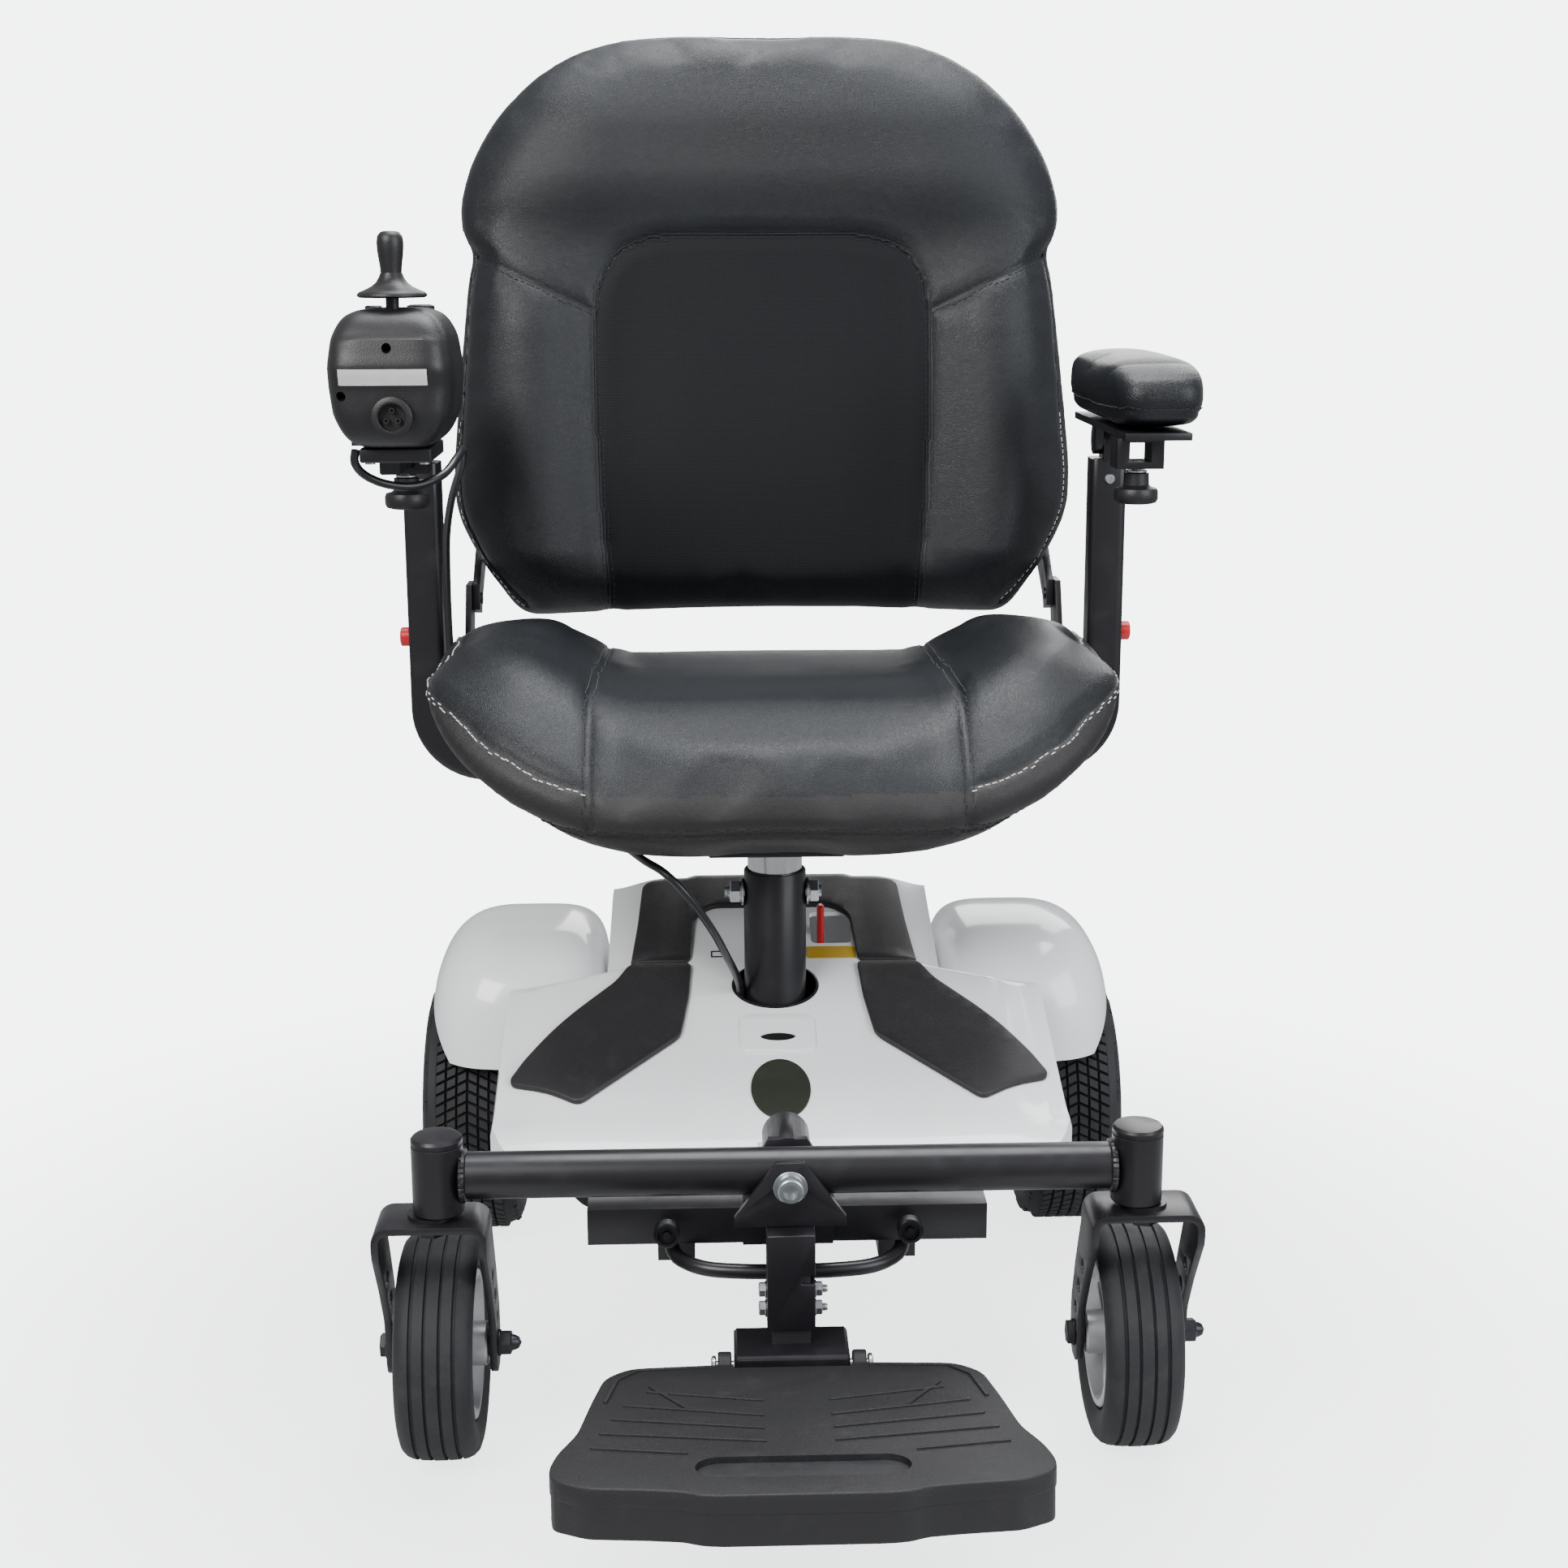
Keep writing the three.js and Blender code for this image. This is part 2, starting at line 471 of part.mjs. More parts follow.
// ---- backrest -----------------------------------------------------------------------------
const backY = (s) => BACK.middleY + BACK.lean * s;
function backRing(offset, inset) {
  const half = [[203, 0], [216, 20], [235, 47], [255, 82], [258, 118], [252, 207], [246, 297],
    [254, 327], [247, 358], [222, 406], [178, 452], [120, 474], [60, 482]];
  const mid = BACK.height / 2;
  const place = ([x, s], sign) => {
    const t = s + (mid - s) * inset / mid;
    return new THREE.Vector3(sign * (x - inset), backY(t) + offset, BACK.foot + t);
  };
  return [...half.map((p) => place(p, 1)), ...half.toReversed().map((p) => place(p, -1))];
}
add('backrest', loft([backRing(-BACK.thick, 18), backRing(-BACK.thick + 14, 0), backRing(20, 0),
  backRing(BACK.thick, 12)]), vinyl());

function backFrame() {
  const behind = (s, d) => [backY(s) + BACK.thick + d, BACK.foot + s];
  const upright = outline([[556, 530], behind(37, 26), behind(316, 20), behind(316, 2), behind(66, 2)]);
  const { hingeY: y, hingeZ: z } = BACK;
  const ear = outline([[y - 12, z - 8], [y + 8, z - 14], [y + 14, z - 4], [578, 534], [578, 556],
    [556, 556], [y - 8, z + 13]]);
  const bar = (s) => {
    const [a, b] = [behind(s, 2), behind(s + 25, 2)];
    return side(outline([a, [a[0] + 18, a[1]], [b[0] + 18, b[1]], b]), -150, 150);
  };
  const parts = [box(-246.5, 246.5, 556, 578, 532, 554), bar(186), bar(291)];
  for (const [, sign] of sides) {
    parts.push(side(upright, ...span(sign, 120, 150)));
    parts.push(side(ear, ...span(sign, 240.5, 246.5)));
  }
  return union(...parts).subtract(rod('x', 5 + GAP, -260, 260, [0, y, z], 16));
}
add('back_frame', backFrame(), blackSteel());

// ---- arms ---------------------------------------------------------------------------------
function armPost(sign) {
  const { inner, outer, end, bend, bendZ, top, half, y } = ARM;
  const wall = outer - inner;
  const shape = new THREE.Shape();
  shape.moveTo(outer, top);
  shape.lineTo(outer, bendZ);
  shape.absarc(outer - bend, bendZ, bend, 0, -Math.PI / 2, true);
  shape.lineTo(end, bendZ - bend);
  shape.lineTo(end, bendZ - bend + wall);
  shape.lineTo(outer - bend, bendZ - bend + wall);
  shape.absarc(outer - bend, bendZ, bend - wall, -Math.PI / 2, 0, false);
  shape.lineTo(inner, top);
  const body = front(shape, y - half, y + half);
  const tongue = union(rod('x', FLIP.radius, 271, 282, [0, FLIP.y, FLIP.z], 20),
    box(271, 282, FLIP.y - FLIP.radius, FLIP.y + FLIP.radius, top - 2, FLIP.z));
  const arm = union(body, tongue).subtract(rod('x', FLIP.pin + GAP, 250, 300, [0, FLIP.y, FLIP.z], 16))
    .subtract(rod('x', BUTTON.radius + GAP, outer - BUTTON.recess, outer + 1, [0, y, BUTTON.z], 20));
  return sign > 0 ? arm : arm.mirror([1, 0, 0]);
}

function armBracket(sign) {
  const ear = (x0, x1) => union(rod('x', FLIP.radius, x0, x1, [0, FLIP.y, FLIP.z], 20),
    box(x0, x1, FLIP.y - FLIP.radius, FLIP.y + 8, FLIP.z, 665));
  const bracket = union(
    box(250, 298, 206, FLIP.y + 8, 661.3, 666.7), ear(264, 270.6), ear(282.4, 289),
    rod('x', FLIP.pin, 264, 289, [0, FLIP.y, FLIP.z], 16),
    box(KNOB.x - 17, KNOB.x + 17, 220, 250, 640, 662))
    .subtract(box(KNOB.x - 8, KNOB.x + 8, 210, 260, 645, 659))
    .subtract(rod('z', 4 + GAP, 630, 650, [KNOB.x, KNOB.y, 0], 16));
  return sign > 0 ? bracket : bracket.mirror([1, 0, 0]);
}

const padKnob = (sign) => turned([[0, KNOB.bottom], [14, KNOB.bottom], [16, 616], [16, 625], [9, 627],
  [8, 636], [4, 636.5], [4, 645], [0, 645]], 'z', [sign * KNOB.x, KNOB.y, 0], 20);

for (const [name, sign] of sides) {
  add(`arm_post_${name}`, armPost(sign), blackSteel());
  const [near, far] = span(sign, ARM.outer - 1.5, ARM.outer + BUTTON.proud);
  add(`arm_button_${name}`, rod('x', BUTTON.radius, near, far, [0, ARM.y, BUTTON.z], 20), redPlastic());
  add(`arm_bracket_${name}`, armBracket(sign), blackSteel());
  add(`arm_pad_${name}`, softBox(...span(sign, PAD.inner, PAD.outer), PAD.front, PAD.back,
    PAD.bottom, PAD.top, 13), vinyl());
  add(`pad_knob_${name}`, padKnob(sign), blackPlastic());
}

// ---- controller ---------------------------------------------------------------------------
add('pod_mount', union(
  softBox(POD.x - 24, POD.x + 24, 118, POD.back, 657, POD.bottom - GAP, 1),
  box(-KNOB.x - 6.5, -KNOB.x + 6.5, 150, 330, 646, 658.5)), blackSteel());

function controllerPod() {
  const { x, half, front: y0, back: y1, bottom, top, stickY } = POD;
  const at = (dx, y, z) => new THREE.Vector3(x + dx, y, z);
  const corners = [];
  for (const s of [-1, 1]) {
    corners.push(at(s * 32, y0 + 6, bottom + 6), at(s * 36, y0 + 14, bottom), at(s * 40, y0, 719),
      at(s * 34, y0 + 6, 746), at(s * half, y0 + 24, 693), at(s * half, y0 + 24, 738),
      at(s * 30, y0 + 22, top), at(s * 32, y1 - 10, 753), at(s * half, y1 - 16, 733),
      at(s * half, y1 - 12, 693), at(s * 34, y1, 739), at(s * 34, y1, 679), at(s * 34, y1 - 8, bottom));
  }
  return solid(new ConvexGeometry(corners))
    .subtract(rod('z', 16, 731, 790, [x, stickY, 0], 24))
    .subtract(rod('y', 11, 80, 104, [x - 2, 0, 689], 20))
    .subtract(rod('z', 6.4, 739, 790, [x - 18, 174, 0], 16))
    .subtract(rod('z', 10.4, 741, 790, [x + 14, 174, 0], 20));
}
add('controller_pod', controllerPod(), blackPlastic());
add('joystick_gimbal', tube('z', 13, 9, POD.stickZ - 3, POD.stickZ + 3, [POD.x, POD.stickY, 0], 20),
  blackPlastic());
add('joystick', turned([[0, 740], [4.5, 740], [4.5, 765], [23, 766.5], [22.5, 768], [8.5, 779], [7.5, 783],
  [8.3, 792], [8.6, 800], [7.4, 806], [0, 808]], 'z', [POD.x, POD.stickY, 0], 24), blackPlastic());
add('power_button', rod('z', 6, 742, 758.5, [POD.x - 18, 174, 0], 16), blackPlastic());
add('speed_dial', rod('z', 10, 742, 759, [POD.x + 14, 174, 0], 20), blackPlastic());

// ---- cables -------------------------------------------------------------------------------
const cable = (points, steps) => swept(points, CABLE.radius, CABLE.sides, steps);

// From the underside of the controller, round the arm pad and down the inner face of the post.
add('joystick_cable', cable([
  [-287, 150, 663], [-288, 152, 654], [-282, 158, 645], [-268, 166, 638], [-250, 176, 636],
  [-233, 192, 642], [-225, 215, 652], [-224, 245, 655], [-230, 290, 640], [-243, 340, 612],
  [-252, 375, 580], [-256, 400, 545], [-257, 408, 510], [-256, 408, 475], [-252, 406, 440],
  [-240, 403, 405], [-222, 398, 382], [-202, 388, 366], [-180, 370, 362], [-150, 330, 361]], 56),
rubber());
// From that plug under the seat pan down into the opening round the column.
add('seat_lead', cable([
  [-149, 328, 361], [-125, 265, 362], [-98, 190, 362], [-84, 172, 358], [-70, 167, 346],
  [-56, 171, 326], [-45, 179, 306], [-37, 195, 285], [-30.5, 217, 265], [-27.2, 233, 249],
  [-26.6, 237, 234], [-26.6, 238, 205]], 34), rubber());

export default chair;
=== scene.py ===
"""A power wheelchair's finished pieces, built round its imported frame. Metres, +Z up, front towards -Y."""

import json
import math

import bmesh
import bpy
import numpy as np
from mathutils import Matrix, Quaternion, Vector
from mathutils.bvhtree import BVHTree
from mathutils.kdtree import KDTree


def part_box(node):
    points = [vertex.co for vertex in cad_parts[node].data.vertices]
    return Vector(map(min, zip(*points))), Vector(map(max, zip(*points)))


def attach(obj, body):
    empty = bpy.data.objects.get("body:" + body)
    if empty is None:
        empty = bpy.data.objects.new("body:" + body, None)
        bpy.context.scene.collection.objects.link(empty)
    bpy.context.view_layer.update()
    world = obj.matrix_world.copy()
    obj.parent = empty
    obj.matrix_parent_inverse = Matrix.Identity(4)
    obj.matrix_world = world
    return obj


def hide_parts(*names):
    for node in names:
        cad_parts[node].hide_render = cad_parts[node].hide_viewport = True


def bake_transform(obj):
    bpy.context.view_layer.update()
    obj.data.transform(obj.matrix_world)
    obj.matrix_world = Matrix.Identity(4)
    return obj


bl_info = {
    "name": "Power wheelchair",
    "version": (1, 0, 0),
    "blender": (4, 5, 0),
    "location": "View3D > Sidebar > Wheelchair",
    "description": "Builds a power wheelchair's upholstery, covers, wheels and controls round its frame",
    "category": "Object",
}

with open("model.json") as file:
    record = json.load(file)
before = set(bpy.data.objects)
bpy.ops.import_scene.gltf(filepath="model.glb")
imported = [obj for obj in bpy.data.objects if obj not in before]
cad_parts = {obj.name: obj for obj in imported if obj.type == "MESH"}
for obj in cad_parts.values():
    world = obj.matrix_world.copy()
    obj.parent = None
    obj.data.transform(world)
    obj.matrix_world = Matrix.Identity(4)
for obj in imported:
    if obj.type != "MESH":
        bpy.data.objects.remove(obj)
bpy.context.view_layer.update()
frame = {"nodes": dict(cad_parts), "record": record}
MM = 0.001
SIDES = (("left", -1), ("right", 1))


def middle(node):
    """The middle of a frame node's box."""
    low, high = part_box(node)
    return (low + high) / 2


AXLE_Y = middle("caster_axle_left").y
COLUMN_Y = (middle("column_tube").y - AXLE_Y) / MM
DRIVE = middle("drive_rim_right")
CASTER = middle("caster_axle_right")


def at(x, y, z):
    """A place in millimetres, with y measured from the caster axle line."""
    return Vector((x * MM, AXLE_Y + y * MM, z * MM))


# ---- sizes and colours a user would change -------------------------------------------------------
def length(name, description, default):
    """A length property in metres."""
    return bpy.props.FloatProperty(name=name, description=description, default=default, unit="LENGTH",
                                   min=0.0, precision=4)


def colour(name, description, default):
    """A colour property."""
    return bpy.props.FloatVectorProperty(name=name, description=description, default=default,
                                         subtype="COLOR", size=3, min=0.0, max=1.0)


class ChairSizes(bpy.types.PropertyGroup):
    """Sizes of the chair's finished pieces."""

    cushion_voxel: length("Cushion cell", "Cell size used to even out a cushion's mesh", 0.005)
    cushion_rise: length("Cushion swell", "The furthest a cushion swells", 0.009)
    seam_depth: length("Seam depth", "How deep a sewn seam pulls the cover in", 0.0034)
    seam_width: length("Seam width", "Half the width of a seam's valley", 0.0038)
    stitch: length("Stitch", "Length of one stitch", 0.0034)
    cable: length("Cable", "Diameter of the cables", 0.006)
    tread_depth: length("Tread depth", "Height of the drive tyre's blocks", 0.003)


class ChairColours(bpy.types.PropertyGroup):
    """Colours of the chair's finishes."""

    vinyl: colour("Vinyl", "Seat and back cover", (0.0060, 0.0072, 0.0096))
    # The border colour is lighter and warmer than the vinyl: the seat's side and front panels carry a painted
    # warm reflection in it.
    border: colour("Border vinyl", "Side panels of the seat", (0.0165, 0.0145, 0.0155))
    panel: colour("Centre panel", "Middle panel of the back", (0.0040, 0.0050, 0.0066))
    thread: colour("Thread", "Contrast stitching", (0.72, 0.72, 0.70))
    coat: colour("Powder coat", "Frame and column", (0.0075, 0.0068, 0.0092))
    cover: colour("Cover", "Moulded base covers", (0.90, 0.915, 0.93))
    trim: colour("Trim", "Trims on the covers", (0.017, 0.0155, 0.0175))
    tyre: colour("Tyre", "Tyre rubber", (0.015, 0.0155, 0.018))
    rim: colour("Rim", "Wheel rims", (0.42, 0.43, 0.44))
    plastic: colour("Plastic", "Controller, knobs and footplate", (0.0105, 0.0100, 0.0115))
    signal: colour("Signal red", "Release lever and lock buttons", (0.62, 0.012, 0.02))


# ---- finishes --------------------------------------------------------------------------------------
class Wire:
    """A shader value. Sums and products of wires and numbers add their Math nodes."""

    def __init__(self, finish, socket):
        self.finish, self.socket = finish, socket

    def math(self, operation, first, second):
        return self.finish.node("ShaderNodeMath", {"operation": operation}, {0: first, 1: second})

    def __add__(self, other):
        return self.math("ADD", self, other)

    __radd__ = __add__

    def __sub__(self, other):
        return self.math("SUBTRACT", self, other)

    def __rsub__(self, other):
        return self.math("SUBTRACT", other, self)

    def __mul__(self, other):
        return self.math("MULTIPLY", self, other)

    __rmul__ = __mul__

    def __pow__(self, other):
        return self.math("POWER", self, other)

    def between(self, low, high):
        """0 below low, 1 above high and smooth between."""
        return self.finish.node("ShaderNodeMapRange", {"interpolation_type": "SMOOTHSTEP"},
                                {"Value": self, "From Min": low, "From Max": high})


class Finish:
    """One material, made from nodes on Object coordinates."""

    def __init__(self, name, base, **constants):
        self.material = bpy.data.materials.new(name)
        self.material.use_nodes = True
        self.tree = self.material.node_tree
        self.shader = next(n for n in self.tree.nodes if n.type == "BSDF_PRINCIPLED")
        self.base = tuple(base)
        self.material.diffuse_color = (*self.base, 1.0)
        for socket, value in constants.items():
            self.shader.inputs[socket.replace("_", " ")].default_value = value
        self.place = self.node("ShaderNodeTexCoord", {}, {}, "Object")

    def node(self, kind, settings, inputs, output=0):
        made = self.tree.nodes.new(kind)
        for key, value in settings.items():
            setattr(made, key, value)
        for key, value in inputs.items():
            if isinstance(value, Wire):
                self.tree.links.new(value.socket, made.inputs[key])
            else:
                made.inputs[key].default_value = value
        return Wire(self, made.outputs[output])

    def stretched(self, scale, turn=(0, 0, 0)):
        return self.node("ShaderNodeMapping", {}, {"Vector": self.place, "Scale": scale, "Rotation": turn})

    def noise(self, scale, detail=2.0, place=None, roughness=0.5):
        return self.node("ShaderNodeTexNoise", {}, {"Vector": place or self.place, "Scale": scale,
                                                    "Detail": detail, "Roughness": roughness})

    def cells(self, scale, feature="F1", place=None):
        return self.node("ShaderNodeTexVoronoi", {"feature": feature},
                         {"Vector": place or self.place, "Scale": scale})

    def blend(self, factor, first, second):
        pick = [c if isinstance(c, Wire) else (*c, 1.0) for c in (first, second)]
        return self.node("ShaderNodeMix", {"data_type": "RGBA"}, {0: factor, 6: pick[0], 7: pick[1]}, 2)

    def tone(self, factor, darker, lighter):
        """The base colour from darker to lighter as factor goes from 0 to 1."""
        return self.blend(factor, [min(1, c * darker) for c in self.base],
                          [min(1, c * lighter) for c in self.base])

    def set(self, **wires):
        for socket, wire in wires.items():
            self.tree.links.new(wire.socket, self.shader.inputs[socket.replace("_", " ")])
        return self

    def relief(self, height, distance, strength=1.0, under=None):
        inputs = {"Height": height, "Distance": distance, "Strength": strength}
        if under:
            inputs["Normal"] = under
        return self.node("ShaderNodeBump", {}, inputs)


def vinyl(name, base, grain=820.0, depth=0.00013, roughness=0.40):
    """Embossed upholstery vinyl: pebbled grain, fine creases and a soft patchy sheen."""
    f = Finish(name, base, Specular_IOR_Level=0.36, Coat_Weight=0.03, Coat_Roughness=0.3)
    warped = f.node("ShaderNodeVectorMath", {"operation": "ADD"}, {0: f.place, 1: f.node(
        "ShaderNodeVectorMath", {"operation": "SCALE"}, {0: f.node(
            "ShaderNodeTexNoise", {}, {"Vector": f.place, "Scale": 160.0}, "Color"), "Scale": 0.0012})})
    pebble = f.cells(grain, "DISTANCE_TO_EDGE", warped).between(0.0, 0.28)
    pores = f.noise(grain * 2.6, 2.0)
    patches = f.noise(7.0, 4.0).between(0.36, 0.66)
    creases = f.noise(26.0, 5.0, f.stretched((1.0, 1.0, 2.2)), 0.62)
    f.set(Base_Color=f.tone(patches * 0.7 + pebble * 0.3, 0.78, 1.22),
          Roughness=roughness - 0.05 + 0.09 * patches + 0.05 * (1 - pebble))
    swell = f.relief(creases, 0.0007, 0.4)
    return f.set(Normal=f.relief(pebble + 0.3 * pores, depth, 0.8, swell)).material


def knit_panel(name, base):
    """A breathable centre panel: fine ribbed weave with small dimples, duller than the vinyl."""
    f = Finish(name, base, Specular_IOR_Level=0.18)
    ribs = f.node("ShaderNodeTexWave", {"bands_direction": "X"}, {"Vector": f.place, "Scale": 150.0})
    rows = f.node("ShaderNodeTexWave", {"bands_direction": "Z"}, {"Vector": f.place, "Scale": 150.0})
    weave = ribs * rows
    patches = f.noise(9.0, 3.0)
    f.set(Base_Color=f.tone(weave * 0.6 + patches * 0.4, 0.72, 1.3), Roughness=0.5 + 0.12 * patches)
    return f.set(Normal=f.relief(weave + 0.25 * f.noise(1900.0), 0.00022, 0.7)).material


def powder_coat(name, base, roughness=0.36):
    """Satin powder coat with a fine orange peel, and dust in its roughness."""
    f = Finish(name, base, Specular_IOR_Level=0.40, Coat_Weight=0.10, Coat_Roughness=0.2)
    peel = f.noise(950.0, 2.0)
    dust = f.noise(38.0, 5.0).between(0.46, 0.78)
    specks = f.cells(260.0).between(0.0, 0.06)
    f.set(Base_Color=f.blend(dust * 0.25, f.tone(f.noise(12.0), 0.85, 1.15), [c * 2.2 for c in base]),
          Roughness=roughness + 0.14 * dust + 0.06 * (1 - specks))
    return f.set(Normal=f.relief(peel, 0.00006, 0.55)).material


def moulded_cover(name, base):
    """Gloss moulded cover: faint waviness, light dust and hairline marks."""
    f = Finish(name, base, Specular_IOR_Level=0.5, Coat_Weight=0.35, Coat_Roughness=0.06)
    waves = f.noise(16.0, 2.0)
    dust = f.noise(55.0, 6.0, None, 0.65).between(0.5, 0.8)
    scratches = f.noise(60.0, 4.0, f.stretched((12.0, 1.0, 1.0), (0.0, 0.0, 0.5))).between(0.62, 0.72)
    f.set(Base_Color=f.blend(dust * 0.08, f.tone(waves, 0.98, 1.01), (0.70, 0.71, 0.72)),
          Roughness=0.16 + 0.12 * dust + 0.10 * scratches)
    return f.set(Normal=f.relief(f.noise(420.0), 0.00002, 0.4, f.relief(waves, 0.0012, 0.25))).material


def grained_plastic(name, base, roughness=0.5, grain=900.0, depth=0.00011, wear=1.7):
    """Moulded plastic with a spark-eroded grain, a little dust and rubbed patches."""
    f = Finish(name, base, Specular_IOR_Level=0.45)
    pits = f.cells(grain).between(0.05, 0.75)
    rubbed = f.noise(22.0, 5.0).between(0.5, 0.75)
    dust = f.noise(70.0, 4.0).between(0.55, 0.8)
    f.set(Base_Color=f.blend(dust * 0.2, f.tone(rubbed, 0.9, 1.15), [c * wear for c in base]),
          Roughness=roughness - 0.1 * rubbed + 0.12 * dust)
    return f.set(Normal=f.relief(pits + 0.4 * f.noise(grain * 2.2), depth, 0.7)).material


def tyre_rubber(name, base):
    """Tyre rubber: matt, dusty in patches, with moulding flow and fine scuffs."""
    f = Finish(name, base, Specular_IOR_Level=0.35)
    dust = f.noise(48.0, 6.0, None, 0.65).between(0.45, 0.8)
    scuffs = f.noise(180.0, 3.0, f.stretched((0.3, 1.0, 1.0)))
    f.set(Base_Color=f.blend(dust * 0.55, f.tone(scuffs, 0.8, 1.2), (0.045, 0.043, 0.042)),
          Roughness=0.56 + 0.2 * dust + 0.1 * scuffs)
    return f.set(Normal=f.relief(f.noise(1400.0, 3.0) + 0.7 * scuffs, 0.00016, 0.7)).material


def plated(name, base, roughness=0.26):
    """Plated steel: drawing streaks, cloudy patches and a few dull spots."""
    f = Finish(name, base, Metallic=1.0)
    drawn = f.noise(520.0, 3.0, f.stretched((1.0, 1.0, 0.08)))
    cloud = f.noise(60.0, 4.0).between(0.4, 0.75)
    spots = f.cells(150.0).between(0.0, 0.12)
    f.set(Base_Color=f.tone(cloud * 0.6 + drawn * 0.4, 0.84, 1.1),
          Roughness=roughness + 0.12 * cloud + 0.06 * drawn + 0.08 * (1 - spots))
    return f.set(Normal=f.relief(drawn, 0.00002, 0.5)).material


def painted_rim(name, base):
    """Silver-grey wheel paint with metallic flake and patches of brake dust."""
    f = Finish(name, base, Metallic=0.55, Coat_Weight=0.25, Coat_Roughness=0.12)
    flake = f.cells(2600.0)
    dust = f.noise(65.0, 5.0).between(0.45, 0.8)
    f.set(Base_Color=f.blend(dust * 0.4, f.tone(flake, 0.9, 1.1), (0.16, 0.155, 0.15)),
          Roughness=0.3 + 0.2 * dust)
    return f.set(Normal=f.relief(f.noise(700.0), 0.00003, 0.5)).material


def twisted_thread(name, base):
    """Sewing thread, with its ply twist and a little soil."""
    f = Finish(name, base, Specular_IOR_Level=0.3, Sheen_Weight=0.2)
    ply = f.node("ShaderNodeTexWave", {"bands_direction": "DIAGONAL"}, {"Vector": f.place, "Scale": 420.0})
    f.set(Base_Color=f.tone(f.noise(30.0, 3.0), 0.72, 1.05), Roughness=0.7 + 0.15 * ply)
    return f.set(Normal=f.relief(ply, 0.0001, 0.8)).material


FINISHES = {}


def finish(name):
    """The material of that name, made when it is first asked for."""
    hues = bpy.context.scene.chair_colours
    makers = {
        "seat vinyl": lambda n: vinyl(n, hues.vinyl),
        # The side and front panels' vinyl, tinted warmer and lighter as a painted warm reflection.
        "border vinyl": lambda n: vinyl(n, hues.border, roughness=0.46),
        "arm vinyl": lambda n: vinyl(n, [c * 0.9 for c in hues.vinyl], 700.0, roughness=0.36),
        "centre panel": lambda n: knit_panel(n, hues.panel),
        "contrast thread": lambda n: twisted_thread(n, hues.thread),
        "black thread": lambda n: twisted_thread(n, (0.01, 0.01, 0.012)),
        "powder coat": lambda n: powder_coat(n, hues.coat),
        "gloss cover": lambda n: moulded_cover(n, hues.cover),
        "dark trim": lambda n: grained_plastic(n, hues.trim, 0.52, 1000.0),
        "moulded plastic": lambda n: grained_plastic(n, hues.plastic, 0.42, 1100.0, 0.00007),
        "footplate plastic": lambda n: grained_plastic(n, hues.plastic, 0.56, 700.0, 0.00014, 2.6),
        "red plastic": lambda n: grained_plastic(n, hues.signal, 0.3, 1300.0, 0.00003, 0.8),
        "blank label": lambda n: grained_plastic(n, (0.60, 0.60, 0.58), 0.35, 1500.0, 0.00002, 0.6),
        "amber label": lambda n: grained_plastic(n, (0.58, 0.36, 0.02), 0.35, 1500.0, 0.00002, 0.6),
        "dark badge": lambda n: grained_plastic(n, (0.030, 0.034, 0.026), 0.2, 1500.0, 0.00002, 1.4),
        "tyre rubber": lambda n: tyre_rubber(n, hues.tyre),
        "cable jacket": lambda n: grained_plastic(n, (0.014, 0.014, 0.016), 0.3, 1600.0, 0.00002),
        "wheel paint": lambda n: painted_rim(n, hues.rim),
        "zinc plate": lambda n: plated(n, (0.55, 0.58, 0.60)),
        "bright plate": lambda n: plated(n, (0.72, 0.73, 0.74), 0.16),
        "black steel bolt": lambda n: plated(n, (0.05, 0.05, 0.055), 0.34),
    }
    if name not in FINISHES:
        FINISHES[name] = makers[name](name.replace(" ", "_"))
    return FINISHES[name]


# ---- shapes ----------------------------------------------------------------------------------------
def ring(bm, points, closed=True):
    """A loop of edges through the points."""
    verts = [bm.verts.new(p) for p in points]
    return [bm.edges.new(pair) for pair in zip(verts, verts[1:] + (verts[:1] if closed else []))]


def loft(bm, rings):
    """A closed skin through the rings, with both ends filled."""
    loops = [ring(bm, points) for points in rings]
    for near, far in zip(loops, loops[1:]):
        bmesh.ops.bridge_loops(bm, edges=near + far)
    for end in (loops[0], loops[-1]):
        bmesh.ops.edgeloop_fill(bm, edges=end)


def soften(bm, edges, width, segments=2):
    """Rounds edges by width in millimetres."""
    bmesh.ops.bevel(bm, geom=edges, offset=width * MM, offset_type="OFFSET", affect="EDGES",
                    segments=segments, profile=0.5, material=-1, clamp_overlap=True)


def sharp_edges(bm, before=frozenset(), angle=32):
    """Edges sharper than angle degrees that were not in before."""
    return [e for e in bm.edges
            if e not in before and len(e.link_faces) == 2 and e.calc_face_angle(0) > math.radians(angle)]


def prism(bm, outline, low, high, place, round_by=0.0, segments=2):
    """A plate with the given outline between low and high, its edges rounded."""
    before = set(bm.edges)
    loft(bm, [[place(u, v, w) for u, v in outline] for w in (low, high)])
    if round_by:
        bmesh.ops.recalc_face_normals(bm, faces=bm.faces)
        soften(bm, sharp_edges(bm, before), round_by, segments)


def in_plan(u, v, w):
    return at(u, v, w)


def from_side(u, v, w):
    return at(w, u, v)


def from_front(u, v, w):
    return at(u, w, v)


def turned(bm, profile, centre, axis, steps=64):
    """Spins (radius, distance along the axis) pairs, in millimetres, round the axis through centre."""
    axis = Vector(axis)
    side = axis.orthogonal().normalized()
    closed = profile[0] == profile[-1]
    points = [centre + (axis * t + side * r) * MM for r, t in (profile[:-1] if closed else profile)]
    edges = ring(bm, points, closed)
    verts = list(dict.fromkeys(v for e in edges for v in e.verts))
    bmesh.ops.spin(bm, geom=verts + edges, cent=centre, axis=axis, angle=math.tau, steps=steps,
                   use_merge=True, use_duplicate=False)
    near_axis = [v for v in bm.verts if (v.co - centre).cross(axis).length < 1e-6]
    bmesh.ops.remove_doubles(bm, verts=near_axis, dist=1e-6)


